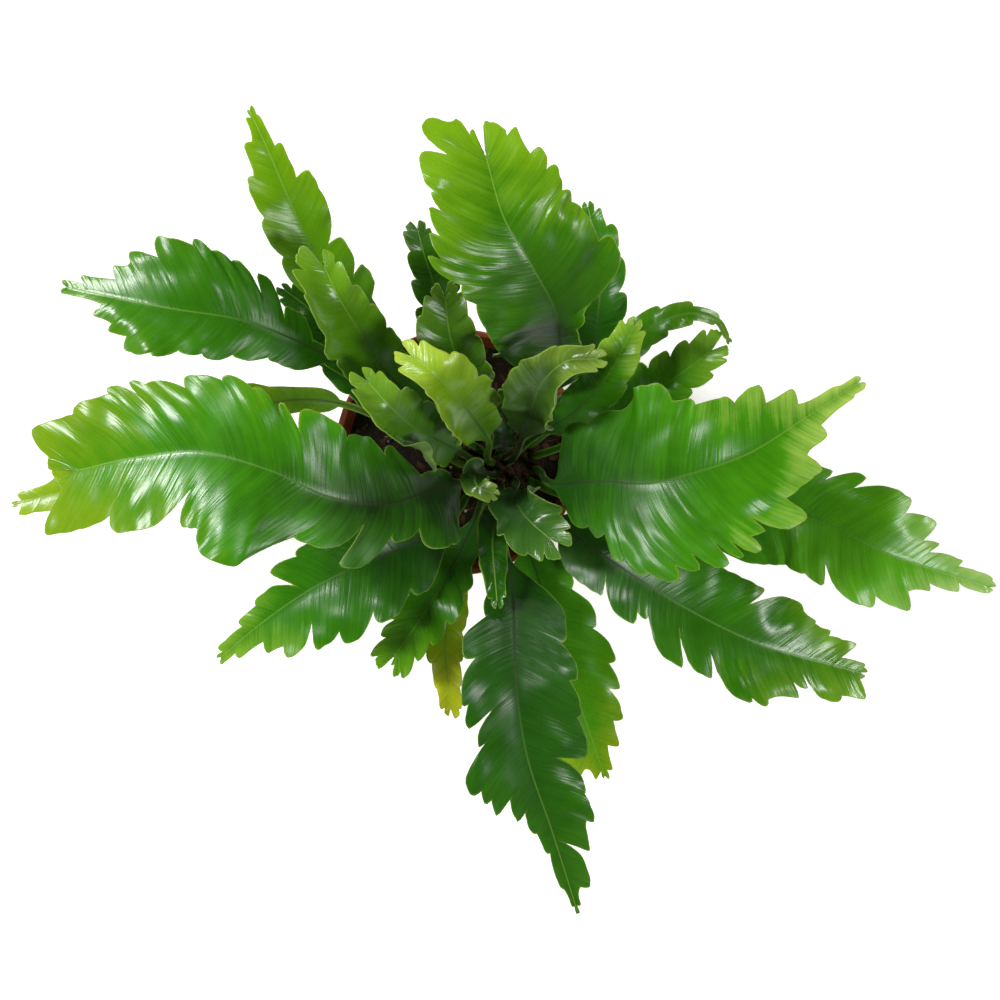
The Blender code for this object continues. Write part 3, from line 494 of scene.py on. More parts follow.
FRONDS = (
    # The tall outer fronds
    FrondForm("frond_left_broad", Ring.OUTER, 200, ("143603", "3c8802", "78a010"),
              ((-17, -9, 36), (-27, -11, 58), (-51, -19, 88), (-74, -16, 104), (-99, -4.5, 113),
               (-130, 3.5, 110), (-162, 1, 98), (-187, -4, 86)),
              left=((0, 18), (0.05, 30), (0.15, 16), (0.19, 20), (0.215, 17), (0.245, 33),
                    (0.285, 10), (0.345, 26), (0.37, 25), (0.44, 53), (0.55, 40), (0.585, 41),
                    (0.65, 20), (0.76, 41), (0.84, 30), (0.97, 36), (1.02, 18), (1.04, 12),
                    (1.09, 2)),
              right=((0, 3), (0.06, 9), (0.1, 9), (0.17, 28), (0.2, 24), (0.28, 34), (0.33, 30),
                     (0.39, 37), (0.452, 25), (0.46, 35), (0.478, 28), (0.495, 39.5), (0.51, 38),
                     (0.535, 42), (0.555, 39), (0.585, 41), (0.625, 34), (0.665, 40), (0.68, 39),
                     (0.695, 42.5), (0.718, 34), (0.745, 42), (0.765, 38), (0.8, 38), (0.86, 33),
                     (0.93, 33), (1.02, 20), (1.03, 16), (1.09, 2)),
              stalk=0.2, sweep=(68, 46)),
    # Its pale lime tip tone is partly the young leaf's colour and partly painted highlight.
    FrondForm("frond_right_broad", Ring.OUTER, 352, ("1b5002", "428f02", "b8da60"),
              ((22, -8, 36), (28, -10, 62), (45, -9, 92), (65, -10, 110), (86, -5, 117),
               (108, 3, 116), (131, 17, 108), (156, 33, 100)),
              left=((0, 18), (0.07, 29), (0.1, 28), (0.15, 34), (0.195, 36), (0.31, 46), (0.39, 36),
                    (0.42, 35), (0.455, 31), (0.51, 31), (0.595, 25), (0.65, 28), (0.7, 17),
                    (0.755, 17), (0.805, 8), (0.87, 6), (0.95, 4), (0.99, 4), (1.08, 1.5)),
              right=((0, 12), (0.06, 22), (0.09, 21), (0.125, 27), (0.19, 25), (0.215, 37),
                     (0.23, 35), (0.238, 43), (0.253, 41.5), (0.272, 47.5), (0.302, 40), (0.32, 45),
                     (0.343, 36), (0.37, 47), (0.4, 34), (0.412, 45.5), (0.43, 36), (0.445, 45.5),
                     (0.468, 37), (0.49, 37.5), (0.505, 29), (0.535, 42), (0.588, 28), (0.675, 27),
                     (0.72, 16), (0.755, 15), (0.83, 7.5), (0.94, 5.5), (0.97, 4), (1, 4.5),
                     (1.08, 1.5)),
              sweep=(72, 56)),
    FrondForm("frond_back_broad", Ring.OUTER, 55, ("1b4008", "387602", "78aa14"),
              ((18, 23, 36), (25, 38, 64), (27, 50, 86), (24, 65, 112), (13, 83, 132),
               (2, 101, 140), (-5, 125, 138)),
              left=((0, 10), (0.16, 33), (0.22, 30), (0.44, 36), (0.5, 34), (0.54, 38), (0.575, 36),
                    (0.615, 44), (0.63, 38), (0.665, 40), (0.68, 35), (0.725, 37), (0.747, 30),
                    (0.776, 34), (0.79, 31), (0.83, 37), (0.955, 20), (1, 32), (1.03, 25),
                    (1.045, 22), (1.065, 12), (1.075, 14), (1.09, 3)),
              right=((0, 7), (0.12, 11), (0.3, 9), (0.345, 14), (0.36, 16), (0.42, 42), (0.474, 35),
                     (0.56, 37), (0.6, 35), (0.64, 37), (0.68, 34), (0.75, 36), (0.79, 30),
                     (0.81, 32), (0.87, 24), (0.95, 22), (0.985, 15), (1.05, 16), (1.09, 3)),
              stalk=0.34, sweep=(70, 46), curls=((-1, 0.3, 0.1, 50),)),
    FrondForm("frond_front_long", Ring.OUTER, 268, ("164404", "266305", "3c7c0a"),
              ((2, -36, 30), (6, -58, 52), (7, -80, 65), (8, -104, 73), (13, -135, 66),
               (24, -169, 50), (37, -212, 26)),
              left=((0, 14), (0.1, 28), (0.13, 25), (0.19, 33), (0.215, 29), (0.28, 34),
                    (0.305, 31.5), (0.37, 35), (0.46, 16), (0.53, 27.5), (0.55, 26), (0.61, 27.5),
                    (0.64, 22), (0.735, 20), (0.75, 5), (0.83, 15), (0.9, 7), (0.95, 4), (0.98, 1),
                    (1.02, 1.5), (1.06, 1)),
              right=((0, 12), (0.06, 16), (0.075, 15), (0.125, 28), (0.175, 21), (0.235, 30),
                     (0.25, 27), (0.285, 30), (0.31, 14.5), (0.35, 25.5), (0.366, 20.5), (0.4, 38),
                     (0.44, 31), (0.46, 32), (0.48, 27), (0.51, 28), (0.53, 17), (0.575, 18.5),
                     (0.6, 11), (0.63, 13), (0.68, 9.5), (0.72, 9), (0.77, 5.5), (0.83, 7),
                     (0.9, 4.5), (0.95, 3), (0.98, 1), (1.02, 1.5), (1.06, 1)),
              stalk=0.26, sweep=(62, 42)),
    FrondForm("frond_front_right_long", Ring.OUTER, 312, ("174402", "2f7002", "6ea41c"),
              ((24, -25, 24), (50, -44, 45), (74, -60, 57), (99, -74, 63), (124, -85, 61),
               (166, -97, 47)),
              left=((0, 16), (0.12, 26), (0.16, 23), (0.3, 32), (0.36, 28), (0.5, 30), (0.545, 18),
                    (0.62, 31.5), (0.678, 27), (0.715, 25), (0.74, 22), (0.785, 21), (0.811, 17.5),
                    (0.87, 18), (0.915, 6), (0.97, 7), (1, 4), (1.04, 4.5), (1.08, 2)),
              right=((0, 4), (0.17, 19), (0.19, 9), (0.275, 22.5), (0.3, 15.5), (0.316, 16.8),
                     (0.334, 13.5), (0.415, 30), (0.433, 13), (0.482, 29), (0.522, 15),
                     (0.577, 33.5), (0.598, 30.5), (0.617, 33), (0.642, 29), (0.735, 24.5),
                     (0.75, 15.5), (0.778, 18), (0.795, 7.5), (0.85, 22.5), (0.9, 17.5), (0.93, 17),
                     (1, 4), (1.04, 4), (1.08, 1)),
              stalk=0.2, sweep=(66, 44)),
    # Its tones are raised over its own green to stand in for its glossy highlights: painted highlight.
    FrondForm("frond_right_long", Ring.OUTER, 332, ("2a6e06", "58a60e", "a8d070"),
              ((36, -17, 22), (66, -23, 38), (102, -22, 49), (138, -23, 58), (171, -39, 65),
               (192, -47, 61), (225, -57, 50)),
              left=((0, 20), (0.27, 27), (0.3, 19), (0.335, 31.5), (0.364, 22.5), (0.45, 33.5),
                    (0.54, 23.5), (0.605, 27.5), (0.672, 14), (0.715, 16), (0.73, 8.5),
                    (0.83, 11.5), (0.855, 6.5), (0.93, 7.5), (1, 4), (1.05, 4.5), (1.08, 2)),
              right=((0, 16), (0.2, 29), (0.23, 28), (0.31, 31), (0.33, 30), (0.37, 32),
                     (0.412, 19), (0.49, 32.5), (0.55, 25), (0.615, 27.5), (0.67, 16.5),
                     (0.735, 13.5), (0.765, 8.5), (0.815, 9.5), (0.89, 2.5), (0.94, 5), (1, 4),
                     (1.04, 3.5), (1.08, 2)),
              stalk=0.4, sweep=(66, 46)),
    FrondForm("frond_back_left_long", Ring.OUTER, 160, ("225a02", "347602", "568f08"),
              ((-34, 18, 30), (-59, 36, 48), (-74, 46, 62), (-90, 54, 73), (-115, 63, 84),
               (-147, 68, 88), (-193, 78, 78)),
              left=((0, 3), (0.1, 5), (0.13, 4.5), (0.26, 15), (0.28, 14), (0.36, 20), (0.38, 19),
                    (0.436, 24.5), (0.47, 22), (0.49, 23.5), (0.535, 22.5), (0.565, 27.5),
                    (0.585, 26.5), (0.616, 29), (0.695, 20.5), (0.74, 20.5), (0.77, 15.5),
                    (0.82, 14), (0.86, 5.5), (0.93, 4.5), (1.06, 1.5)),
              right=((0, 3), (0.12, 4), (0.2, 4), (0.275, 14.5), (0.3, 10), (0.335, 26), (0.36, 16),
                     (0.385, 30), (0.4, 29), (0.425, 33.5), (0.44, 33), (0.47, 39), (0.488, 35.5),
                     (0.57, 37.5), (0.625, 26), (0.695, 28), (0.725, 21.5), (0.765, 18.5),
                     (0.81, 10), (0.9, 9.5), (0.94, 4), (0.98, 4.5), (1.06, 1.5)),
              stalk=0.36, sweep=(66, 46)),
    FrondForm("frond_back_left_narrow", Ring.OUTER, 124, ("3a7402", "5a8f02", "7ba80e"),
              ((-28, 34, 36), (-58, 58, 64), (-69, 72, 84), (-79, 87, 99), (-91, 113, 114),
               (-99, 132, 114), (-108, 151, 106)),
              left=((0, 4), (0.07, 8), (0.14, 10), (0.21, 15), (0.29, 15), (0.36, 19), (0.43, 16),
                    (0.5, 20), (0.57, 17), (0.64, 19), (0.71, 14), (0.79, 13), (0.86, 7), (0.93, 5),
                    (0.98, 1), (1.02, 2), (1.06, 1)),
              right=((0, 6), (0.07, 12), (0.14, 13), (0.22, 20), (0.27, 11), (0.36, 18), (0.44, 9),
                     (0.56, 19), (0.68, 9), (0.75, 10), (0.82, 5), (0.9, 5), (0.97, 3), (1, 3.5),
                     (1.06, 1.5)),
              stalk=0.4, sweep=(62, 40)),
    # The low outer fronds, under the ones above
    FrondForm("frond_left_under", Ring.OUTER, 180, ("4c760c", "779a0d", "8fb31a"),
              ((-42, 14, 12), (-73, 28, 20), (-99, 30, 27), (-126, 22, 33), (-154, 8, 38),
               (-182, -7, 40), (-227, -19, 34)),
              left=((0, 2), (0.08, 7), (0.17, 10), (0.25, 16), (0.33, 15), (0.42, 18), (0.5, 15),
                    (0.58, 19), (0.67, 17), (0.75, 20), (0.83, 13), (0.92, 9), (0.98, 1), (1.02, 2),
                    (1.06, 1)),
              right=((0, 2), (0.08, 7), (0.17, 10), (0.25, 15), (0.33, 13), (0.42, 16), (0.5, 13),
                     (0.58, 17), (0.67, 14), (0.75, 17), (0.83, 10), (0.92, 7), (0.98, 1),
                     (1.02, 2), (1.06, 1)),
              sweep=(60, 44)),
    FrondForm("frond_front_left_wide", Ring.OUTER, 222, ("164802", "347c02", "7cb030"),
              ((-26, -31, 28), (-46, -40, 43), (-64, -47, 49), (-88, -59, 47), (-110, -74, 38),
               (-131, -91, 26)),
              left=((0, 16), (0.07, 26), (0.12, 22), (0.2, 33), (0.26, 26), (0.33, 37), (0.4, 28),
                    (0.46, 32), (0.53, 16), (0.6, 27), (0.66, 19), (0.71, 18), (0.77, 10),
                    (0.86, 9), (0.93, 4), (0.98, 4.5), (1.05, 1)),
              right=((0, 9), (0.1, 20), (0.16, 17), (0.25, 26), (0.31, 19), (0.38, 23), (0.43, 20),
                     (0.48, 22), (0.55, 6), (0.63, 14), (0.7, 11), (0.76, 11), (0.82, 6), (0.9, 7),
                     (0.98, 2), (1.02, 3), (1.06, 1)),
              stalk=0.26, sweep=(66, 44)),
    FrondForm("frond_front_left_yellow", Ring.OUTER, 250, ("84b004", "b8c812", "d2da2a"),
              ((-14, -36, 12), (-21, -56, 14), (-26, -84, 11), (-24, -118, -6)),
              left=((0, 4), (0.1, 8), (0.2, 10), (0.3, 12), (0.4, 10), (0.5, 12), (0.6, 9),
                    (0.7, 10), (0.8, 8), (0.9, 9), (0.97, 6), (1.03, 7), (1.08, 2)),
              right=((0, 4), (0.1, 8), (0.2, 9), (0.3, 12), (0.4, 10), (0.5, 12), (0.6, 9),
                     (0.7, 10), (0.8, 8), (0.9, 8), (0.97, 4), (1.03, 5), (1.08, 2)),
              sweep=(60, 40)),
    FrondForm("frond_front_right_under", Ring.OUTER, 290, ("347a08", "529c04", "96b410"),
              ((14, -41, 20), (20, -59, 32), (26, -82, 39), (37, -111, 35), (50, -148, 18)),
              left=((0, 9), (0.12, 18), (0.16, 16), (0.24, 26), (0.3, 22), (0.38, 30), (0.43, 25),
                    (0.5, 27), (0.54, 20), (0.62, 24), (0.69, 17), (0.76, 17), (0.83, 9), (0.9, 8),
                    (0.97, 3), (1, 3.5), (1.06, 1.5)),
              right=((0, 7), (0.06, 13), (0.12, 15), (0.19, 20), (0.25, 19), (0.31, 24), (0.38, 22),
                     (0.44, 28), (0.5, 26), (0.56, 32), (0.62, 29), (0.69, 31), (0.75, 24),
                     (0.81, 21), (0.88, 12), (0.94, 8), (0.98, 1), (1.02, 2), (1.06, 1)),
              stalk=0.22, sweep=(62, 40)),
    FrondForm("frond_back_left_dark", Ring.OUTER, 142, ("174504", "235b04", "38740c"),
              ((-32, 24, 22), (-54, 33, 34), (-74, 52, 46), (-87, 70, 54), (-98, 79, 50)),
              left=((0, 4), (0.08, 7), (0.17, 9), (0.25, 13), (0.33, 12), (0.42, 15), (0.5, 13),
                    (0.58, 15), (0.67, 12), (0.75, 13), (0.83, 9), (0.92, 8), (0.97, 4), (1.03, 5),
                    (1.08, 2)),
              right=((0, 4), (0.08, 7), (0.17, 9), (0.25, 12), (0.33, 11), (0.42, 14), (0.5, 11),
                     (0.58, 13), (0.67, 10), (0.75, 11), (0.83, 8), (0.92, 7), (0.97, 3), (1.03, 4),
                     (1.08, 2))),
    FrondForm("frond_back_narrow", Ring.OUTER, 102, ("1d4e03", "2b6502", "447c0c"),
              ((-12, 30, 20), (-22, 56, 32), (-29, 79, 54), (-34, 94, 66), (-37, 105, 60)),
              left=((0, 4), (0.08, 7), (0.17, 7), (0.25, 12), (0.33, 9), (0.42, 14), (0.5, 9),
                    (0.58, 12), (0.67, 8), (0.75, 10), (0.83, 7), (0.92, 9), (0.97, 6), (1.03, 7),
                    (1.08, 2)),
              right=((0, 4), (0.08, 7), (0.17, 7), (0.25, 12), (0.33, 9), (0.42, 14), (0.5, 9),
                     (0.58, 13), (0.67, 8), (0.75, 11), (0.83, 7), (0.92, 8), (0.97, 5), (1.03, 6),
                     (1.08, 2)),
              stalk=0.32),
    FrondForm("frond_back_under", Ring.OUTER, 80, ("1c4e08", "2c6a0a", "4c8a18"),
              ((20, 26, 16), (38, 38, 24), (45, 62, 38), (47, 90, 46), (42, 118, 40)),
              left=((0, 4), (0.08, 7), (0.17, 8), (0.25, 13), (0.33, 11), (0.42, 16), (0.5, 12),
                    (0.58, 16), (0.67, 11), (0.75, 13), (0.83, 8), (0.92, 8), (0.97, 3), (1.03, 4),
                    (1.08, 2)),
              right=((0, 4), (0.08, 8), (0.17, 8), (0.25, 14), (0.33, 10), (0.42, 15), (0.5, 10),
                     (0.58, 14), (0.67, 9), (0.75, 13), (0.83, 8), (0.92, 8), (0.97, 3), (1.03, 4),
                     (1.08, 2)),
              stalk=0.36),
    FrondForm("frond_back_right_curled", Ring.OUTER, 32, ("306a04", "448204", "7fa63c"),
              ((26, 18, 14), (46, 34, 28), (60, 54, 48), (73, 64, 58), (88, 68, 62), (100, 65, 58),
               (106, 57, 50)),
              left=((0, 4), (0.08, 6), (0.17, 7), (0.25, 10), (0.33, 8), (0.42, 9), (0.5, 6),
                    (0.58, 7), (0.67, 4), (0.75, 4), (0.83, 2), (0.92, 2), (0.98, 1), (1.02, 2),
                    (1.06, 1)),
              right=((0, 4), (0.08, 6), (0.17, 6), (0.25, 9), (0.33, 8), (0.42, 9), (0.5, 6),
                     (0.58, 7), (0.67, 4), (0.75, 4), (0.83, 2), (0.92, 2), (0.98, 1), (1.02, 2),
                     (1.06, 1)),
              stalk=0.42),
    FrondForm("frond_back_right_short", Ring.OUTER, 14, ("34760a", "4a9206", "80b430"),
              ((34, 10, 18), (56, 24, 30), (76, 36, 46), (88, 44, 53), (97, 51, 50)),
              left=((0, 4), (0.08, 7), (0.17, 8), (0.25, 14), (0.33, 12), (0.42, 17), (0.5, 12),
                    (0.58, 16), (0.67, 11), (0.75, 15), (0.83, 11), (0.92, 13), (0.97, 9),
                    (1.03, 11), (1.08, 2)),
              right=((0, 4), (0.08, 7), (0.17, 8), (0.25, 13), (0.33, 10), (0.42, 15), (0.5, 11),
                     (0.58, 14), (0.67, 10), (0.75, 13), (0.83, 9), (0.92, 11), (0.97, 7),
                     (1.03, 9), (1.08, 2)),
              stalk=0.4),
    # The middle ring
    FrondForm("frond_right_upright", Ring.MIDDLE, 35, ("2c6c04", "449004", "a0ca40"),
              ((16, 12, 26), (38, 26, 48), (51, 42, 66), (60, 60, 74)),
              left=((0, 4), (0.1, 8), (0.2, 9), (0.3, 12), (0.4, 12), (0.5, 14), (0.6, 12),
                    (0.7, 13), (0.8, 10), (0.9, 9), (0.97, 4), (1.03, 5), (1.08, 2)),
              right=((0, 4), (0.1, 8), (0.2, 9), (0.3, 12), (0.4, 11), (0.5, 13), (0.6, 11),
                     (0.7, 12), (0.8, 10), (0.9, 9), (0.97, 4), (1.03, 5), (1.08, 2)),
              stalk=0.36),
    FrondForm("frond_back_upright", Ring.MIDDLE, 105, ("2b560a", "3f6e10", "5a8620"),
              ((-8, 22, 38), (-16, 40, 58), (-22, 56, 74), (-24, 72, 82)),
              left=((0, 5), (0.1, 11), (0.2, 14.5), (0.3, 18), (0.4, 15.5), (0.5, 19), (0.6, 15.5),
                    (0.7, 18), (0.8, 14.5), (0.9, 13), (0.97, 7), (1.03, 8.5), (1.08, 2)),
              right=((0, 5), (0.1, 9.5), (0.2, 11), (0.3, 14.5), (0.4, 13), (0.5, 15.5), (0.6, 13),
                     (0.7, 14.5), (0.8, 12), (0.9, 12), (0.97, 7), (1.03, 8.5), (1.08, 2)),
              stalk=0.36),
    FrondForm("frond_left_upright", Ring.MIDDLE, 142, ("2f6403", "4d8402", "6b9c1c"),
              ((-18, 12, 38), (-40, 30, 66), (-54, 44, 86), (-62, 58, 106), (-69, 70, 120),
               (-74, 81, 124)),
              left=((0, 4), (0.08, 8), (0.17, 9), (0.25, 14), (0.33, 13), (0.42, 18), (0.5, 17),
                    (0.58, 23), (0.67, 20), (0.75, 24), (0.83, 19), (0.92, 19), (0.97, 11),
                    (1.03, 14), (1.08, 2)),
              right=((0, 4), (0.08, 9), (0.17, 10), (0.25, 14), (0.33, 13), (0.42, 16), (0.5, 13),
                     (0.58, 15), (0.67, 12), (0.75, 13), (0.83, 10), (0.92, 10), (0.97, 6),
                     (1.03, 8), (1.08, 2)),
              stalk=0.42, curls=((1, 0.72, 0.3, 70),)),
    FrondForm("frond_left_folded", Ring.MIDDLE, 172, ("2f600c", "4a7c18", "74a02a"),
              ((-18, 5, 36), (-28, 10, 64), (-38, 15, 92), (-48, 24, 110), (-56, 33, 112)),
              left=((0, 5), (0.1, 11), (0.2, 13), (0.3, 18), (0.4, 17), (0.5, 20), (0.6, 17),
                    (0.7, 18), (0.8, 14), (0.9, 14), (0.97, 7), (1.03, 9), (1.08, 2)),
              right=((0, 5), (0.1, 10), (0.2, 12), (0.3, 16), (0.4, 14), (0.5, 16), (0.6, 13),
                     (0.7, 15), (0.8, 11), (0.9, 10), (0.97, 6), (1.03, 7), (1.08, 2)),
              stalk=0.34, curls=((1, 0.45, 0.25, 110), (1, 0.8, 0.2, 60))),
    FrondForm("frond_front_left_short", Ring.MIDDLE, 238, ("225c02", "3f8802", "64a00e"),
              ((-12, -28, 20), (-22, -48, 26), (-33, -67, 35), (-48, -89, 25)),
              left=((0, 5), (0.08, 10), (0.17, 11), (0.25, 16), (0.33, 13), (0.42, 19), (0.5, 14),
                    (0.58, 19), (0.67, 14), (0.75, 17), (0.83, 12), (0.94, 17), (1, 10),
                    (1.025, 13), (1.05, 6), (1.07, 7), (1.09, 2)),
              right=((0, 5), (0.08, 10), (0.17, 11), (0.25, 17), (0.33, 13), (0.42, 19), (0.5, 14),
                     (0.58, 20), (0.67, 14), (0.75, 18), (0.83, 13), (0.95, 17), (1, 11),
                     (1.03, 13), (1.09, 2)),
              sweep=(60, 36)),
    FrondForm("frond_front_short", Ring.MIDDLE, 275, ("143c04", "1b4d05", "2b6209"),
              ((-2, -22, 32), (-3, -38, 56), (-2, -52, 66), (-1, -62, 66)),
              left=((0, 3), (0.12, 6), (0.25, 7), (0.38, 8), (0.5, 8), (0.62, 8), (0.75, 7),
                    (0.88, 6), (0.97, 3), (1.03, 4), (1.08, 2)),
              right=((0, 3), (0.12, 6), (0.25, 7), (0.38, 8), (0.5, 8), (0.62, 8), (0.75, 7),
                     (0.88, 6), (0.97, 3), (1.03, 4), (1.08, 2))),
    FrondForm("frond_front_right_short", Ring.MIDDLE, 315, ("21481a", "2d5a1c", "4c7a2a"),
              ((7, -14, 32), (10, -22, 54), (15, -28, 66), (22, -34, 68)),
              left=((0, 5), (0.1, 8.5), (0.2, 9.5), (0.3, 14.5), (0.4, 13), (0.5, 18), (0.6, 15.5),
                    (0.7, 18), (0.8, 14.5), (0.9, 14.5), (0.97, 8.5), (1.03, 11), (1.08, 2)),
              right=((0, 5), (0.1, 8.5), (0.2, 9.5), (0.3, 14.5), (0.4, 13), (0.5, 18), (0.6, 15.5),
                     (0.7, 18), (0.8, 14.5), (0.9, 14.5), (0.97, 8.5), (1.03, 11), (1.08, 2)),
              stalk=0.34, curls=((1, 0.55, 0.3, 70),)),
    # The young inner fronds
    FrondForm("frond_centre_left", Ring.INNER, 165, ("44780e", "74a20a", "aecc40"),
              ((-5, 10, 42), (-12, 20, 80), (-20, 29, 112), (-28, 37, 125), (-36, 43, 124)),
              left=((0, 5), (0.1, 11), (0.2, 13), (0.3, 17), (0.4, 15.5), (0.5, 19), (0.6, 15.5),
                    (0.7, 18), (0.8, 13), (0.9, 12), (0.97, 7), (1.03, 8.5), (1.08, 2)),
              right=((0, 5), (0.1, 11), (0.2, 13), (0.3, 17), (0.4, 15.5), (0.5, 19), (0.6, 15.5),
                     (0.7, 18), (0.8, 13), (0.9, 12), (0.97, 7), (1.03, 8.5), (1.08, 2)),
              stalk=0.38, curls=((1, 0.6, 0.3, 90),)),
    FrondForm("frond_centre_right", Ring.INNER, 15, ("2c4c14", "42661e", "8cac3e"),
              ((11, 12, 46), (14, 22, 84), (19, 34, 114), (29, 42, 125), (40, 43, 122)),
              left=((0, 5), (0.1, 9.5), (0.2, 11), (0.3, 14.5), (0.4, 14.5), (0.5, 17), (0.6, 14.5),
                    (0.7, 15.5), (0.8, 11), (0.9, 9.5), (0.97, 5), (1.03, 6), (1.08, 2)),
              right=((0, 5), (0.1, 9.5), (0.2, 11), (0.3, 14.5), (0.4, 14.5), (0.5, 17),
                     (0.6, 14.5), (0.7, 15.5), (0.8, 11), (0.9, 9.5), (0.97, 5), (1.03, 6),
                     (1.08, 2)),
              stalk=0.38, curls=((-1, 0.6, 0.3, 90), (1, 0.8, 0.2, 60))),
    # Its near-black tones are painted shade: the middle of the plant lies in deep shade.
    FrondForm("frond_centre_dark", Ring.INNER, 95, ("103204", "184304", "245608"),
              ((2, 7, 26), (3, 20, 46), (4, 33, 58)),
              left=((0, 4), (0.12, 6), (0.25, 6), (0.38, 8), (0.5, 7), (0.62, 8), (0.75, 7),
                    (0.88, 6), (0.97, 3), (1.03, 4), (1.08, 2)),
              right=((0, 4), (0.12, 6), (0.25, 6), (0.38, 8), (0.5, 7), (0.62, 8), (0.75, 7),
                     (0.88, 6), (0.97, 3), (1.03, 4), (1.08, 2)),
              stalk=0.38),
    FrondForm("frond_centre_small", Ring.INNER, 255, ("1d3f10", "2c5216", "7fa03c"),
              ((-7, -5, 28), (-11, -5, 52), (-10, -11, 64), (-4, -14, 60)),
              left=((0, 3), (0.12, 4), (0.25, 5), (0.38, 7), (0.5, 7), (0.62, 8), (0.75, 6),
                    (0.88, 6), (0.97, 3), (1.03, 4), (1.08, 2)),
              right=((0, 3), (0.12, 4), (0.25, 5), (0.38, 7), (0.5, 7), (0.62, 8), (0.75, 6),
                     (0.88, 6), (0.97, 3), (1.03, 4), (1.08, 2)),
              stalk=0.42),
)

@dataclass(frozen=True)
class Margin:
    """One side's margin: its notches and lobe tips in turn, and how each lobe lies."""

    marks: np.ndarray  # share of the blade's length and length of the vein in metres, in rows
    swells: np.ndarray  # how far each lobe domes up, in metres
    tilts: np.ndarray  # how far each lobe's near half rises over its far half, in metres

    def place(self, u: np.ndarray) -> tuple[np.ndarray, np.ndarray, np.ndarray]:
        """Finds the lobe tip and the notch that each share lies between.

        Args:
            u: Shares of the blade's length.

        Returns:
            The tips' numbers, the notches' numbers, and the places from the tip at 0 to the notch
            at 1, or at -1 for the notch before the tip.
        """
        after = np.clip(np.searchsorted(self.marks[:, 0], u, side="right"), 1, len(self.marks) - 1)
        tip = after - (after + 1) % 2
        notch = 2 * after - 1 - tip
        gap = np.abs(self.marks[notch, 0] - self.marks[tip, 0])
        return tip, notch, np.clip((u - self.marks[tip, 0]) / gap, -1, 1)

    def length(self, u: np.ndarray) -> np.ndarray:
        """Gives the veins' lengths: T - (T - N) x^p from a tip T to a notch N, p more for a deep one."""
        tip, notch, x = self.place(u)
        tall, low = self.marks[tip, 1], self.marks[notch, 1]
        return tall - (tall - low) * np.abs(x) ** (2.2 + 5 * np.clip(1 - low / tall, 0, 1))

    def envelope(self, u: np.ndarray) -> np.ndarray:
        """Gives the length that a vein would have without the notches."""
        return np.interp(u, self.marks[1::2, 0], self.marks[1::2, 1])

    def lift(self, u: np.ndarray, out: np.ndarray) -> np.ndarray:
        """Gives each lobe's own height: a dome 1 - x^2 and a tilt x (1 - x^2), more with out."""
        tip, _, x = self.place(u)
        dome = self.swells[tip // 2] * (1 - x * x)
        tilt = self.tilts[tip // 2] * x * (1 - x * x) * 2.6
        return (dome + tilt)[:, None] * out**1.6


